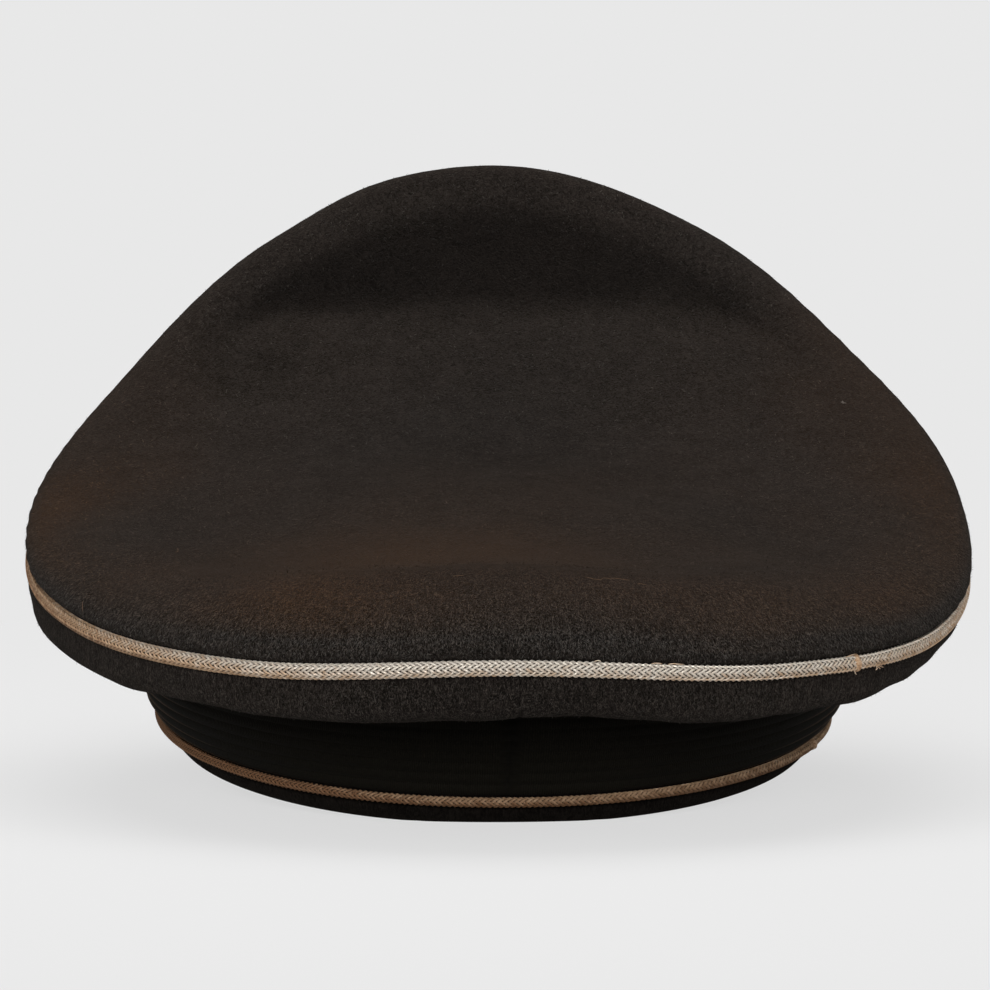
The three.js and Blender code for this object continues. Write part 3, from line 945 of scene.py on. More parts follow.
@dataclass
class SidePanel:
    """A quarter of the crown's side, which hangs in a belly between the band and the rim piping."""

    pattern: Pattern
    name: str
    start: float
    end: float
    sags: tuple[float, ...] = (22, 23, 23, 15, 8, 2, 0, 2, 8, 13, 20, 23)
    bellies: tuple[float, ...] = (8, 8, 7, 7, 3, 2, 1, 2, 3, 5, 6, 8)
    short: float = 0.02
    columns: int = 84
    rows: int = 38
    tuck_rows: int = 3
    seam_depth: float = 0.2
    seam_width: float = 0.6
    beside_seam: tuple[float, ...] = (0.15, 0.35, 0.6, 0.9, 1.4)
    pucker: float = 0.3
    pucker_width: float = 9.0
    degree: float = 2.35
    fuller: tuple[tuple[float, float, float], ...] = (
        (56.0, 6.5, -1.25), (73.0, 8.0, 1.3), (88.0, 9.0, 0.5),
        (277.0, 9.0, 1.3), (300.0, 14.0, -1.9), (325.0, 12.0, -0.4),
    )
    rumples: tuple[tuple[float, float, int], ...] = ((52.0, 0.7, 11), (16.0, 0.22, 12))

    def section(self, turn: Array, row: Array) -> Array:
        """Returns distances out from the band's top and heights, for turns and rows of the section."""
        pattern = self.pattern
        top = pattern.band_heights[-1]
        reach = np.linalg.norm(pattern.rim(turn) - pattern.band(turn, top + 0 * turn)[:, :2], axis=1)
        seam = pattern.seam(turn)
        low = top + pattern.gap + 0 * turn
        high = seam - pattern.rim_cord_up - pattern.gap
        sag = pattern.around(self.sags, turn)
        handles = (
            np.column_stack([0 * turn, low]),
            np.column_stack([reach * 0.3, mixed(low, high, 0.3) - sag * 0.3]),
            np.column_stack([reach - 3 + pattern.around(self.bellies, turn), mixed(low, high, 0.8) - sag]),
            np.column_stack([reach - 0.4, high]),
        )
        rolled = cubic(handles, np.clip(row / self.rows, 0, 1))
        inner = np.column_stack([reach - pattern.tuck - pattern.gap, seam - pattern.gap / 2])
        tucked = mixed(handles[3], inner, np.clip((row - self.rows) / self.tuck_rows, 0, 1)[:, None])
        return np.where((row > self.rows)[:, None], tucked, rolled)

    def build(self) -> bpy.types.Object:
        """Builds the sheet, drawn in at its seams and puckered beside them."""
        pattern = self.pattern
        turns = turns_between(self.start + self.short, self.end - self.short, self.columns, self.beside_seam)
        last = len(turns) - 1

        def placed(_: Array, column: Array, row: Array) -> Array:
            """Places the points of the panel."""
            turn = turns[column]
            foot = pattern.band(turn, pattern.band_heights[-1] + 0 * turn)[:, :2]
            out = unit(pattern.rim(turn) - foot)
            section = self.section(turn, row)
            return np.column_stack([foot + out * section[:, :1], section[:, 1]])

        def marks(_: Array, column: Array, row: Array) -> dict[str, Array]:
            """Marks how far each point is from the nearest upright seam, and up the panel."""
            turn = turns[column]
            near = np.minimum(turn - self.start, self.end - turn)
            return {"Beside": near * self.degree, "Up": row / self.rows, "Turn": turn}

        weave = Weave(last, self.rows + self.tuck_rows)
        piece = weave.laid(self.name, from_pattern(pattern, placed), marks)
        points = points_of(piece.data)
        beside, up, turn = (mark_of(piece.data, key) for key in ("Beside", "Up", "Turn"))
        inside = np.clip(np.minimum(up * 6, (1.02 - up) * 7), 0, 1)
        heights = swelled(turn, self.fuller) - self.seam_depth * bell(beside, 0.0, self.seam_width)
        heights += self.pucker * bell(beside, 0.0, self.pucker_width) * np.sin(up * 26 + 1.3)
        for wavelength, depth, seed in self.rumples:
            heights += depth * rumple(points, wavelength, seed)
        push(piece, heights * inside)
        # The side panels keep most of their painted light, with a little painted shade and less fuzz.
        WearAndPaintedLight(rolled=0.75, fuzziness=0.45, painted_shade=0.1).put_on(piece)
        return piece


@dataclass
class Crown:
    """The crown's cloth: its top and the four quarters of its side."""

    pattern: Pattern
    wool: bpy.types.Material
    quarters: tuple[tuple[str, float], ...] = (
        ("side_panel_rear_left", 0.0),
        ("side_panel_front_left", 90.0),
        ("side_panel_front_right", 180.0),
        ("side_panel_rear_right", 270.0),
    )
    sheets: dict[str, bpy.types.Mesh] = field(default_factory=dict)

    def build(self) -> None:
        """Builds each piece, keeps its outer sheet for the nap, and gives it its wall."""
        pieces = [(CrownTop(self.pattern).build(), "crown_top")]
        for node, start in self.quarters:
            panel = SidePanel(self.pattern, f"{node}_cloth", start, start + 90.0)
            pieces.append((panel.build(), node))
        for piece, node in pieces:
            self.sheets[node] = piece.data.copy()
            walled(piece, self.pattern.cloth)
            dressed(piece, self.wool, Slot.WOOL, node)


@dataclass
class Band:
    """The stiff band: a wool wall with a plain edge at its foot, and the ribbed cloth round it."""

    pattern: Pattern
    wool: bpy.types.Material
    ribs: bpy.types.Material
    wall: float = 2.2
    edge_out: float = 1.0
    edge_height: float = 4.2
    low: float = 7.35
    high: float = 44.45
    rib_count: int = 14
    rib_depth: float = 0.6
    rib_rows: int = 8
    cloth: float = 1.0
    seam_depth: float = 0.45
    seam_width: float = 0.55
    degree: float = 1.79
    length: float = 620.0
    columns: int = 260

    def edge_outline(self) -> Array:
        """Returns the wall's closed outline: distances out from the band's face, and heights."""
        top = self.pattern.band_heights[-1]
        out, high, wall = self.edge_out, self.edge_height, self.wall
        corners = [
            (-wall, 0.3), (-wall + 0.4, 0.0), (-0.8, -0.05), (0.2, 0.0),
            (out - 0.25, 0.3), (out, 1.0), (out + 0.08, 2.2), (out - 0.1, 3.3), (out - 0.5, high - 0.15),
            (0.1, high), (0.0, high + 0.8), *((0.0, level) for level in (8.0, 11.0, 19.0, 30.0, 40.0)),
            (0.0, top - 0.6), (-0.4, top), (-wall + 0.4, top), (-wall, top - 0.5),
            *((-wall, level) for level in (40.0, 30.0, 19.0, 11.0, 5.0, 0.3)),
        ]
        return np.array(corners)

    def rib_outline(self) -> Array:
        """Returns the ribbed cloth's closed outline: distances out from the band's face, and heights."""
        gap = self.pattern.gap
        steps = np.arange(self.rib_count * self.rib_rows + 1) / self.rib_rows
        pitch = (self.high - self.low) / self.rib_count
        swell = np.abs(np.sin(np.pi * steps)) ** 0.75
        outer = np.column_stack([gap + self.cloth - self.rib_depth * (1 - swell), self.low + steps * pitch])
        back = [(gap, level) for level in (self.high, 30.0, 19.0, 11.0, self.low)] + [tuple(outer[0])]
        return np.vstack([outer, back])

    def laid(self, name: str, outline: Array, turns: Array, press: float) -> bpy.types.Object:
        """Lays a closed outline round the band and returns the piece.

        Args:
            name: The piece's name.
            outline: The outline's points, from the foot up the outside.
            turns: The turn of each column.
            press: How deep the seam at the centre back is drawn in, in millimetres.
        """
        def placed(_: Array, column: Array, row: Array) -> Array:
            """Places the points of the outline."""
            turn = turns[column]
            beside = np.minimum(turn, 360 - turn) * self.degree
            on_face = outline[row, 0] > self.pattern.gap + 0.1
            out = outline[row, 0] - press * bell(beside, 0.0, self.seam_width) * on_face
            return self.pattern.above_floor(self.pattern.band(turn, outline[row, 1], out))

        height = float(np.ptp(outline[:, 1]))
        weave = Weave(len(turns) - 1, len(outline) - 1, size=(self.length, height))
        return weave.laid(name, from_pattern(self.pattern, placed))

    def build(self) -> None:
        """Builds the band's wall and its ribbed cloth."""
        turns = turns_between(0.0, 360.0, self.columns, (0.12, 0.25, 0.4, 0.6, 0.9))
        turns[-1] = 0.0
        edge = self.laid("band_core_cloth", self.edge_outline(), turns, 0.0)
        # The band's wall carries no painted light marks, so its wool takes the full painted shade.
        dressed(edge, self.wool, Slot.WOOL, "band_core")
        ribbed = self.laid("ribbed_band_cloth", self.rib_outline(), turns, self.seam_depth)
        dressed(ribbed, self.ribs, Slot.RIBS, "ribbed_band")


@dataclass(frozen=True)
class Line:
    """A closed line round the cap at even steps, with the way out from the cap at each point."""

    points: Array
    outward: Array
    turns: Array
    length: float

    @classmethod
    def through(cls, turns: Array, points: Array, outward: Array, steps: int) -> "Line":
        """Makes the line from closely set points at turns from 0 to 360."""
        strides = np.linalg.norm(np.diff(points, axis=0), axis=1)
        reached = np.concatenate([[0], np.cumsum(strides)])
        even = np.linspace(0, reached[-1], steps + 1)
        respaced = [np.interp(even, reached, values) for values in (*points.T, *outward.T, turns)]
        ends = np.column_stack(respaced[:3]), np.column_stack(respaced[3:6])
        return cls(*ends, respaced[6], float(reached[-1]))

    def upward(self) -> Array:
        """Returns the direction square to the line and to the way out, on its upper side."""
        ahead = np.vstack([self.points[1:], self.points[1:2]])
        behind = np.vstack([self.points[-2:-1], self.points[:-1]])
        along = unit(ahead - behind)
        up = unit(np.cross(along, self.outward))
        return up * np.sign(up[:, 2:3])


@dataclass
class Piping:
    """A cord with a round braid of metal strands, half of them winding each way."""

    pattern: Pattern
    name: str
    out: float
    up: float
    strands: int
    lead: float
    half_width: float
    half_thickness: float
    lift: float
    steps: int
    tones: tuple[float, float, float] = (0.45, 0.35, 0.1)
    splice: float | None = None
    grooved: float = 0.0
    section: tuple[Pair, ...] = ((1, 0), (0, 1), (-1, 0), (0, -1))
    core_sides: int = 14
    core_stride: int = 4

    def groove(self, turn: Array, angle: Array) -> Array:
        """Returns how far the braid is drawn in: round the sides it has a groove along its upper half."""
        aside = ramp(np.minimum(turn, 360 - turn), 22.0, 52.0)
        level = np.mod(angle + math.pi, TAU) - math.pi
        return 1 - self.grooved * aside * bell(level, 0.5, 0.26)

    def girth(self, turn: Array) -> Array:
        """Returns how thick the cord is at turns: thicker before its splice, and thinner after it."""
        if self.splice is None:
            return 1.0 + 0 * turn
        past = np.mod(turn - self.splice + 180, 360) - 180
        return 1 + 0.07 * bell(past, 2.0, 1.6) - 0.09 * bell(past, -2.5, 2.5)

    def tarnish(self, turn: Array, height: Array) -> Array:
        """Returns how brown the thread is: more on the cord's lower side and away from the centre back."""
        behind, left, right = self.tones
        aside = np.clip(np.minimum(turn, 360 - turn) / 70 - 0.15, 0, 1)
        sides = mixed(left, right, ramp(turn, 140.0, 220.0))
        return behind + 0.30 * (0.6 - height) / 1.6 + aside * sides

    def build(self, line: Line, braid: bpy.types.Material, core: bpy.types.Material) -> None:
        """Winds the strands round the line and lays a plain cord inside them.

        Args:
            line: The middle of the cord.
            braid: The strands' finish.
            core: The inner cord's finish.
        """
        up = line.upward()
        rounds = round(line.length / self.lead)
        half = self.strands // 2
        room = self.half_thickness + self.lift
        place = np.arange(self.steps + 1) / self.steps
        girth = self.girth(line.turns)
        flat = ((line.outward, (self.out - room) * girth), (up, (self.up - room) * girth))

        def oval(angle: Array, step: Array) -> Array:
            """Returns the ways from the line out to the cord's oval, at angles round it."""
            drawn = self.groove(line.turns[step], angle)
            parts = zip((np.cos(angle), np.sin(angle)), flat)
            return sum(axis[step] * (part * radius[step] * drawn)[:, None] for part, (axis, radius) in parts)

        def wound(way: int, strand: Array, step: Array) -> tuple[Array, Array, Array]:
            """Returns the middle of the strands, the way out from the cord there, and the angle round it."""
            angle = TAU * (strand / half + way * rounds * place[step])
            parts = zip((np.cos(angle), np.sin(angle)), flat)
            out = unit(sum(axis[step] * (part / radius[step])[:, None] for part, (axis, radius) in parts))
            over = way * self.lift * np.cos(half / 2 * angle + math.pi / 4)
            return line.points[step] + oval(angle, step) + out * over[:, None], out, angle

        for side_name, way in (("over", 1), ("under", -1)):

            def placed(strand: Array, step: Array, side: Array, way: int = way) -> Array:
                """Places the points of the strands that wind one way."""
                middle, out, _ = wound(way, strand, step)
                ahead, _, _ = wound(way, strand, (step + 1) % self.steps)
                behind, _, _ = wound(way, strand, (step - 1) % self.steps)
                across = unit(np.cross(out, unit(ahead - behind)))
                wide, thick = np.array(self.section)[side % len(self.section)].T[:, :, None]
                spread = across * wide * self.half_width + out * thick * self.half_thickness
                return self.pattern.settled(middle + spread)

            def marks(
                strand: Array, step: Array, side: Array, way: int = way
            ) -> dict[str, Array]:
                """Marks how tarnished the strands are, and grime with painted shade where they dip under and
                along their sides.
                """
                _, _, angle = wound(way, strand, step)
                own = np.random.default_rng(7 + way).uniform(-0.1, 0.1, half)[strand]
                under = 0.5 - 0.5 * way * np.cos(half / 2 * angle + math.pi / 4)
                beside = np.abs(np.array(self.section)[side % len(self.section), 0])
                # Grime and painted shade where a strand dips under the other strands and along its sides.
                low = np.clip(0.45 * under**1.5 + 0.2 * beside, 0, 1)
                return {"Tarnish": self.tarnish(line.turns[step], np.sin(angle)) + own, "GrimeAndShade": low}

            sides = len(self.section)
            piece_name = f"{self.name}_braid_{side_name}"
            weave = Weave(self.steps, sides, half, (line.length, sides * 0.5))
            strands = weave.laid(piece_name, placed, marks)
            dressed(strands, braid, Slot.BRAID, self.name)

        def inner(_: Array, step: Array, side: Array) -> Array:
            """Places the points of the inner cord."""
            spot = step * self.core_stride % self.steps
            within = oval(-TAU * side / self.core_sides, spot) * (1 - 0.02 / self.out)
            return self.pattern.settled(line.points[spot] + within)

        # The inner cord's dark finish is partly its own colour and partly painted shade for the gaps between
        # the strands.
        inside = Weave(self.steps // self.core_stride, self.core_sides).laid(f"{self.name}_core", inner)
        dressed(inside, core, Slot.BRAID)


@dataclass
class Binding:
    """A short lap of braid that binds the two ends of a piping together."""

    pattern: Pattern
    name: str
    turn: float
    out: float
    up: float
    length: float
    slant: float = 0.5
    swell: tuple[float, ...] = (-0.35, -0.05, 0.12, 0.2, 0.22, 0.14, 0.2, 0.1, -0.05, -0.35)
    sides: int = 24

    def build(self, line: Line, braid: bpy.types.Material) -> None:
        """Laps it round the cord that follows the line, and dresses it."""
        up = line.upward()
        middle = np.interp(self.turn, line.turns, np.arange(len(line.turns)))
        stride = line.length / (len(line.turns) - 1)
        last = len(self.swell) - 1

        def placed(_: Array, column: Array, row: Array) -> Array:
            """Places the points of the lap."""
            angle = -TAU * row / self.sides
            ahead = (column / last - 0.5) * self.length + self.slant * np.cos(angle - 0.8)
            spot = middle + ahead / stride
            every = np.arange(len(line.turns))
            centre, outward, upward = (
                np.column_stack([np.interp(spot, every, values) for values in table.T])
                for table in (line.points, line.outward, up)
            )
            uneven = 0.07 * np.sin(3 * angle + column) + 0.05 * np.sin(7 * angle)
            proud = np.array(self.swell)[column] + uneven
            across = outward * (np.cos(angle) * (self.out + proud))[:, None]
            upright = upward * (np.sin(angle) * (self.up + proud))[:, None]
            return self.pattern.settled(centre + across + upright)

        def marks(_: Array, column: Array, row: Array) -> dict[str, Array]:
            """Marks it as tarnished."""
            return {"Tarnish": 0.62 + 0.12 * np.sin(row * 1.7 + column)}

        weave = Weave(last, self.sides, size=(self.length, 10.0))
        lap = weave.laid(self.name, placed, marks, closed_ends=True)
        dressed(turned_out(lap), braid, Slot.BRAID)


@dataclass
class LooseThreads:
    """Ends of thread that have come loose along the rim piping, and lint that lies on the cloth."""

    pattern: Pattern
    sheet: bpy.types.Mesh
    on_cord: tuple[tuple[tuple[float, float, float], ...], ...] = (
        ((352.9, 1.0, 2.0), (352.7, 1.7, 2.5), (352.4, 1.6, 2.6), (352.2, 1.0, 2.1)),
        ((346.8, 0.9, 2.0), (346.5, 1.6, 2.4), (346.0, 1.8, 2.4), (345.6, 0.9, 2.0)),
        ((345.0, 1.0, 2.0), (344.5, 1.6, 2.5), (344.0, 1.5, 2.2), (343.2, 1.0, 2.1)),
        ((320.4, 1.5, -1.2), (320.5, 1.9, -1.7), (320.4, 1.8, -2.0), (320.1, 1.7, -2.3)),
        ((316.6, 1.7, -1.0), (316.4, 2.1, -1.4), (316.2, 2.1, -1.7), (316.0, 1.9, -1.9)),
        ((316.3, 1.8, -1.0), (316.1, 2.1, -1.3), (315.8, 2.2, -1.5), (315.5, 2.0, -1.6)),
        ((316.7, 1.7, -1.1), (316.6, 2.0, -1.5), (316.6, 2.0, -1.8), (316.8, 1.8, -2.0)),
        ((321.8, 1.0, 1.9), (321.2, 1.8, 2.4), (320.6, 1.6, 2.6), (320.1, 1.0, 2.2)),
    )
    on_cloth: tuple[tuple[Pair, ...], ...] = (
        ((57.6, 7.5), (57.0, 6.0), (56.4, 4.6), (56.2, 2.8)),
        ((351.9, 28.9), (351.3, 28.0), (350.6, 27.6), (349.8, 27.9)),
        ((350.1, 27.9), (349.6, 28.8), (348.9, 28.6), (348.6, 28.0)),
        ((348.4, 28.4), (347.6, 28.9), (347.0, 28.0), (346.4, 28.3)),
        ((345.6, 26.6), (345.2, 27.3), (344.8, 26.7), (344.4, 27.2)),
        ((5.9, 29.4), (6.6, 28.6), (6.5, 29.3), (7.2, 29.1)),
        ((61.0, 33.0), (61.6, 34.4), (62.6, 33.6), (62.9, 34.6)),
    )
    specks: tuple[tuple[Pair, ...], ...] = (
        ((248.3, 19.9), (247.9, 20.6), (248.3, 20.9), (248.1, 20.2)),
        ((247.8, 20.1), (248.3, 20.2), (248.0, 20.8), (247.8, 20.4)),
        ((248.0, 20.6), (248.4, 20.5), (248.2, 20.0), (247.9, 20.3)),
    )

    def beside_cord(self, spots: Array) -> Array:
        """Returns points at turns, distances out from the rim and heights above it."""
        turn, out, up = spots.T
        plan = self.pattern.rim(turn)
        return np.column_stack([plan + unit(plan) * (out + 0.5)[:, None], self.pattern.seam(turn) + up])

    def lying(self, spots: Array) -> Array:
        """Returns points in millimetres that lie on the cloth, at turns and distances along its section."""
        turns, along = mark_of(self.sheet, "Turn"), mark_of(self.sheet, "Along")
        points = points_of(self.sheet) + normals_of(self.sheet) * 0.2
        found = []
        for turn, distance in spots:
            away = ((turns - turn) * 2.4) ** 2 + (along - distance) ** 2
            near = np.argsort(away)[:4]
            weights = 1 / (away[near] + 0.01)
            found.append((points[near] * weights[:, None]).sum(0) / weights.sum())
        return np.array(found)

    def build(self, braid: bpy.types.Material, fibre: bpy.types.Material) -> None:
        """Lays the threads and the lint."""
        loose = [self.pattern.settled(self.beside_cord(np.array(path))) / MM for path in self.on_cord]
        self.laid("loose_threads", np.array(loose), 0.12, braid, Slot.BRAID)
        kinds = (("lint", self.on_cloth, 0.042, 0.8), ("speck", self.specks, 0.15, 0.1))
        for name, paths, radius, dust in kinds:
            lint = [self.lying(np.array(path)) for path in paths]
            self.laid(name, np.array(lint), radius, fibre, Slot.WOOL, dust)

    def laid(
        self,
        name: str,
        handles: Array,
        radius: float,
        material: bpy.types.Material,
        slot: Slot,
        dust: float = 0.0,
    ) -> None:
        """Lays each thread as a thin tube and dresses them.

        Args:
            name: The piece's name.
            handles: Four points in millimetres for each thread's curve.
            radius: How thick the threads are.
            material: Their finish.
            slot: The record's slot that the finish comes from.
            dust: How dusty they are.
        """
        steps, sides = 10, 5

        def placed(thread: Array, step: Array, side: Array) -> Array:
            """Places the points of the tubes."""
            ends = handles[thread].transpose(1, 0, 2)
            here, ahead = cubic(ends, step / steps), cubic(ends, step / steps + 0.01)
            along = unit(ahead - here)
            beside = unit(np.cross(along, (0.3, 0.2, 1.0)))
            over = np.cross(beside, along)
            angle = TAU * side / sides
            thick = (radius * (1 - 0.5 * np.abs(2 * step / steps - 1) ** 4))[:, None]
            return (here + thick * (beside * np.cos(angle)[:, None] + over * np.sin(angle)[:, None])) * MM

        def marks(thread: Array, step: Array, _: Array) -> dict[str, Array]:
            """Marks how tarnished and how dusty the threads are."""
            even = 1.0 + 0.0 * step
            tarnish = 0.3 + 0.25 * np.mod(thread * 0.37, 1.0) * even
            return {"Tarnish": tarnish, "Tone": even, "Dust": dust * even}

        weave = Weave(steps, sides, len(handles), (2.0, 1.0))
        dressed(turned_out(weave.laid(name, placed, marks, closed_ends=True)), material, slot)


@dataclass
class Nap:
    """Fibres that stand up from cloth: thin curved strips that lie mostly downwards."""

    name: str
    count: int
    seed: int
    width: Pair = (0.035, 0.075)
    scatter: float = 0.7
    fuzzed: bool = False
    tones: Pair = (1.4, 0.72)
    length: Pair = (0.7, 1.7)
    lift: Pair = (0.05, 0.5)

    def roots(self, mesh: bpy.types.Mesh, rng: np.random.Generator) -> tuple[Array, ...]:
        """Returns points spread over the mesh, with the normals, the dust and the painted light there."""
        mesh.calc_loop_triangles()
        corners = np.empty(len(mesh.loop_triangles) * 3, dtype=np.int32)
        mesh.loop_triangles.foreach_get("vertices", corners)
        corners = corners.reshape(-1, 3)
        points, normals = points_of(mesh), normals_of(mesh)
        a, b, c = (points[corners[:, k]] for k in range(3))
        shares = np.linalg.norm(np.cross(b - a, c - a), axis=1)
        if self.fuzzed:
            shares = shares * mark_of(mesh, "Fuzz")[corners].mean(axis=1)
        chosen = rng.choice(len(corners), self.count, p=shares / shares.sum())
        weights = rng.dirichlet((1, 1, 1), self.count)
        spots = sum(points[corners[chosen, k]] * weights[:, k : k + 1] for k in range(3))
        ways = sum(normals[corners[chosen, k]] * weights[:, k : k + 1] for k in range(3))
        return spots, unit(ways), *(mark_of(mesh, key)[corners[chosen, 0]] for key in ("Dust", "Faded"))

    def build(self, mesh: bpy.types.Mesh, material: bpy.types.Material) -> None:
        """Grows the fibres on a mesh and dresses them."""
        rng = np.random.default_rng(self.seed)
        roots, normals, dust, painted_light = self.roots(mesh, rng)
        outward = unit(roots * (1, 1, 0) + (0, 0, 1e-3))
        lying = outward * 0.5 + (0, 0, -1.0) + rng.normal(scale=self.scatter, size=(self.count, 3))
        lying = unit(lying - normals * (lying * normals).sum(1, keepdims=True))
        across = np.cross(normals, lying)
        length = rng.uniform(*self.length, (self.count, 1))
        width = rng.uniform(*self.width, (self.count, 1))
        lift = rng.uniform(*self.lift, (self.count, 1)) ** 1.5
        curl = rng.normal(scale=0.3, size=(self.count, 1)) * length
        middle = roots + lying * length * 0.5 + normals * lift * 0.8 + across * curl * 0.4
        tip = roots + lying * length * 0.9 + normals * lift * 1.1 + across * curl
        base = roots - normals * 0.05
        side = across * width
        stations = [base - side, base + side, middle - side, middle + side, tip]
        strip = self.strip()
        order = points_of(strip.data)[:, 1].argsort(kind="stable")
        many = strip.modifiers.new("many", "ARRAY")
        many.count = self.count
        many.use_relative_offset = False
        applied(strip)
        placed = np.empty((self.count, len(stations), 3))
        for station, index in zip(stations, order):
            placed[:, index] = station
        strip.data.vertices.foreach_set("co", (placed * MM).ravel())
        rarity, brightest = self.tones
        # Fibres are darker where the cloth has painted shade.
        tone = brightest * rng.uniform(0, 1, self.count) ** rarity * (0.3 + 0.7 * painted_light)
        for key, values in (("Tone", tone), ("Dust", dust)):
            mark(strip.data, key, np.repeat(values, len(stations)))
        strip.data.update()
        dressed(strip, material, Slot.WOOL)

    def strip(self) -> bpy.types.Object:
        """Makes one flat strip that narrows to a point."""
        bm = bmesh.new()
        bmesh.ops.create_grid(bm, x_segments=1, y_segments=2, size=1.0)
        bm.verts.ensure_lookup_table()
        tips = [vert for vert in bm.verts if vert.co.y > 0.5]
        bmesh.ops.pointmerge(bm, verts=tips, merge_co=(0.0, 1.0, 0.0))
        return made(self.name, bm)


@dataclass
class Peak:
    """The peak: a stiff curved plate with a raised bead along its outer edge."""

    pattern: Pattern
    reach: float = 66.0
    depth: float = 50.0
    fullness: float = 0.7
    slope: float = 40.0
    end_slope: float = 50.0
    thickness: float = 2.2
    root_height: float = 3.0
    arch: float = 3.0
    forward: float = 0.45
    upright: float = 0.25
    bead_width: float = 3.2
    bead_rise: float = 1.0
    bead_section: tuple[Pair, ...] = (
        (0.06, 0.86), (0.2, 1.0), (0.4, 1.05), (0.6, 0.98), (0.78, 0.7), (0.9, 0.25),
    )
    root_on_band: float = 4.2
    root_out: float = 1.3
    end: float = 0.92
    columns: int = 140

    def outline(self) -> Array:
        """Returns the section's closed outline: places from band to edge, and heights above the plate."""
        bead = self.bead_width / self.depth
        plain = np.linspace(0, 1 - bead, 16)
        under = [(down, -self.thickness) for down in plain]
        rim = [(0.996, -self.thickness + 0.05), (1.0, -self.thickness + 0.5), (1.0, self.bead_rise - 0.5)]
        swell = [(1 - bead * down, self.bead_rise * up) for down, up in self.bead_section]
        upper = [(down, 0.0) for down in plain[::-1]]
        closed = [*under, *rim, *swell, *upper]
        return np.array([*closed, closed[0]])

    def build(self, material: bpy.types.Material) -> None:
        """Builds the plate and dresses it."""
        outline = self.outline()

        def placed(_: Array, column: Array, row: Array) -> Array:
            """Places the points of the plate."""
            across = np.sin(math.pi / 2 * mixed(-self.end, self.end, column / self.columns))
            down, raised = outline[row].T
            turn = 180 + across * self.reach
            plan = self.pattern.band(turn, self.root_on_band + 0 * turn, self.root_out)[:, :2]
            forward = unit(mixed(unit(plan), np.array([0.0, -1.0]), self.forward))
            run = down * self.depth * (1 - across**2) ** self.fullness
            slope = np.radians(mixed(self.slope, self.end_slope, across**2))
            lift = raised + self.arch * np.sin(math.pi * down) * (1 - across**2)
            leaning = np.minimum(1, down / self.upright)
            plan = plan + forward * (run * np.cos(slope) + lift * np.sin(slope) * leaning)[:, None]
            return np.column_stack([plan, self.root_height - run * np.sin(slope) + lift * np.cos(slope)])

        weave = Weave(self.columns, len(outline) - 1)
        plate = weave.laid("peak_plate", from_pattern(self.pattern, placed), closed_ends=True)
        dressed(turned_out(plate), material, Slot.PEAK, "peak")


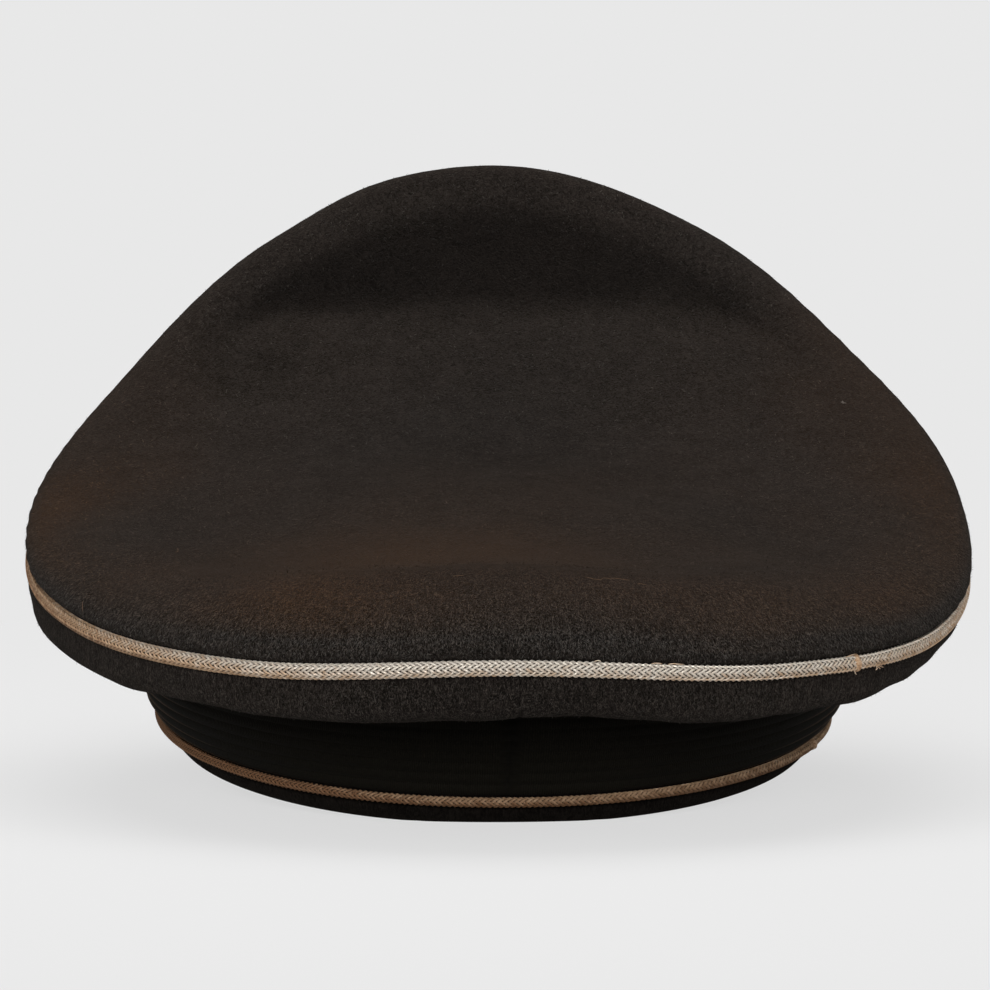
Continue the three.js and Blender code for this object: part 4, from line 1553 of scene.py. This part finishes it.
@dataclass
class Studio:
    """The pale floor, the soft lights and the camera."""

    background: float = 0.807
    floor_grey: float = 0.80
    bounce_grey: float = 0.5
    shade: float = 0.22
    lens: float = 140.0
    eye: tuple[float, float, float] = (0.0357, 0.9899, 0.1208)
    aim: tuple[float, float, float] = (0.0003, -0.0036, 0.0716)

    def floor(self) -> None:
        """Lays a round floor that fades into the background."""
        bm = bmesh.new()
        bmesh.ops.create_circle(bm, cap_ends=True, radius=6.0, segments=96)
        floor = made("floor", bm)
        material, recipe, shader = begun("floor_paper")
        away, grey = recipe.length(recipe.where()), self.floor_grey
        recipe.feed(shader, Base_Color=(grey, grey, grey, 1.0), Roughness=0.9, Specular_IOR_Level=0.1)
        pale = recipe.add("ShaderNodeEmission", None, Color=(self.background,) * 3 + (1.0,), Strength=1.0)
        share = recipe.ranged(away, 0.12, 0.5, (1 - self.shade, 1.0))
        shown = recipe.add("ShaderNodeMixShader", None, in0=share, in1=shader.outputs[0], in2=pale.outputs[0])
        bounce = recipe.add("ShaderNodeBsdfDiffuse", None, Color=(self.bounce_grey,) * 3 + (1.0,))
        seen = recipe.add("ShaderNodeLightPath").outputs["Is Camera Ray"]
        blend = recipe.add("ShaderNodeMixShader", None, in0=seen, in1=bounce.outputs[0], in2=shown.outputs[0])
        recipe.feed(recipe.tree.nodes["Material Output"], Surface=blend.outputs[0])
        floor.data.materials.append(material)

    def world(self, strength: float) -> None:
        """Lights the room evenly, and shows the plain background behind the cap."""
        world = bpy.data.worlds.new("studio")
        world.use_nodes = True
        bpy.context.scene.world = world
        recipe = Recipe(world.node_tree)
        seen = recipe.add("ShaderNodeLightPath").outputs["Is Camera Ray"]
        tone = recipe.math("MULTIPLY_ADD", seen, self.background - strength, strength)
        recipe.feed(world.node_tree.nodes["Background"], Color=(1.0, 1.0, 1.0, 1.0), Strength=tone)

    def softbox(self, name: str, eye: tuple, target: tuple, size: Pair, power: float) -> None:
        """Hangs a soft light.

        Args:
            name: The light's name.
            eye: Where it hangs.
            target: What it points at.
            size: Its width and height in metres.
            power: Its power in watts.
        """
        light = bpy.data.lights.new(name, "AREA")
        light.shape = "RECTANGLE"
        light.size, light.size_y = size
        light.energy = power
        lamp = linked(bpy.data.objects.new(name, light))
        lamp.location = eye
        lamp.rotation_euler = (Vector(target) - Vector(eye)).to_track_quat("-Z", "Y").to_euler()

    def camera(self) -> None:
        """Sets the camera at the photograph's viewing angle."""
        data = bpy.data.cameras.new("camera")
        data.lens = self.lens
        data.sensor_width = 36.0
        data.clip_start, data.clip_end = 0.05, 30.0
        camera = linked(bpy.data.objects.new("camera", data))
        camera.location = self.eye
        camera.rotation_euler = (Vector(self.aim) - Vector(self.eye)).to_track_quat("-Z", "Y").to_euler()
        bpy.context.scene.camera = camera

    def build(self) -> None:
        """Sets up the whole studio."""
        self.floor()
        self.world(0.25)
        self.softbox("overhead", (0.0, -0.3, 1.3), (0.0, 0.0, 0.05), (1.5, 1.1), 16.0)
        self.softbox("left_strip", (1.4, 0.5, 0.75), (0.0, 0.0, 0.05), (0.7, 1.1), 5.0)
        self.softbox("right_strip", (-1.4, 0.5, 0.75), (0.0, 0.0, 0.05), (0.7, 1.1), 4.0)
        self.softbox("rear_fill", (0.15, 1.5, 0.45), (0.0, 0.0, 0.05), (0.65, 0.45), 12.8)
        self.camera()
        bpy.context.scene.view_settings.view_transform = "Standard"


def cord_line(pattern: Pattern, height: float | None, out: float, steps: int) -> Line:
    """Returns the middle line of a piping.

    Args:
        pattern: The cap's pattern.
        height: The height on the band, or None for the rim.
        out: How far the line is outside the face it lies on.
        steps: How many even steps it has.
    """
    turns = np.linspace(0, 360, 3601)

    def plan(turn: Array) -> Array:
        """Returns the face that the piping lies on, seen from above."""
        if height is None:
            return pattern.rim(turn)
        return pattern.band(turn, height + 0 * turn, pattern.gap)[:, :2]

    along = plan(turns + 0.5) - plan(turns - 0.5)
    outward = unit(np.column_stack([-along[:, 1], along[:, 0]]))
    level = pattern.seam(turns) if height is None else height + 0 * turns
    points = np.column_stack([plan(turns) + outward * out, level])
    return Line.through(turns, points, np.column_stack([outward, 0 * turns]), steps)


def main() -> None:
    """Builds the cap's pieces in order, and then the studio."""
    logging.basicConfig(level=logging.INFO, format="%(name)s %(message)s")
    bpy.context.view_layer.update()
    pattern = Pattern()
    groups = Groups()
    wool = WoolFinish("wool").material(groups)
    fibre = FibreFinish(
        "wool_fibre", (0.007, 0.0062, 0.0056, 1.0), (0.118, 0.106, 0.095, 1.0), (0.170, 0.094, 0.045, 1.0)
    ).material()
    ribs = RibFinish("ribbed_mohair").material(groups)
    silver = BraidFinish("metal_braid").material(groups)
    # The inner cord is dark brown: its own colour, and painted shade for the gaps between the braid's
    # strands.
    cord = FibreFinish(
        "braid_core", (0.020, 0.013, 0.008, 1.0), (0.05, 0.033, 0.02, 1.0), (0.04, 0.03, 0.02, 1.0)
    ).material()
    lacquer = LacquerFinish("peak_lacquer").material(groups)

    crown = Crown(pattern, wool)
    crown.build()
    Band(pattern, wool, ribs).build()
    rim = Piping(
        pattern, "rim_piping", 1.5, 1.9, 20, 15.0, 0.285, 0.2, 0.2, 2000,
        tones=(0.02, 0.76, 0.38), splice=319.5, grooved=0.34,
    )
    line = cord_line(pattern, None, 0.5, rim.steps)
    rim.build(line, silver, cord)
    Binding(pattern, "rim_piping_binding", 319.5, 1.5, 1.9, 1.9).build(line, silver)
    pipings = (("lower_band_piping", 5.8, 1160, 296.5), ("upper_band_piping", 46.0, 680, None))
    for name, height, steps, splice in pipings:
        thin = Piping(
            pattern, name, 1.25, 1.25, 12, 8.0, 0.32, 0.17, 0.15, steps,
            tones=(0.68, 0.9, -0.08), splice=splice,
        )
        line = cord_line(pattern, height, 1.25, thin.steps)
        thin.build(line, silver, cord)
        if splice:
            Binding(pattern, f"{name}_binding", splice, 1.25, 1.25, 3.2).build(line, silver)
    LooseThreads(pattern, crown.sheets["crown_top"]).build(silver, fibre)
    Peak(pattern).build(lacquer)
    Nap("crown_top_nap", 22000, 61).build(crown.sheets["crown_top"], fibre)
    rear = Nap(
        "crown_rear_nap", 36000, 71, (0.033, 0.06), 0.4, fuzzed=True, tones=(2.4, 1.0), length=(0.5, 1.3)
    )
    rear.build(crown.sheets["crown_top"], fibre)
    for index, (node, _) in enumerate(crown.quarters):
        Nap(f"{node}_nap", 4500, 62 + index, (0.025, 0.05), 1.2).build(crown.sheets[node], fibre)
    Studio().build()


if __name__ == "__main__":
    main()
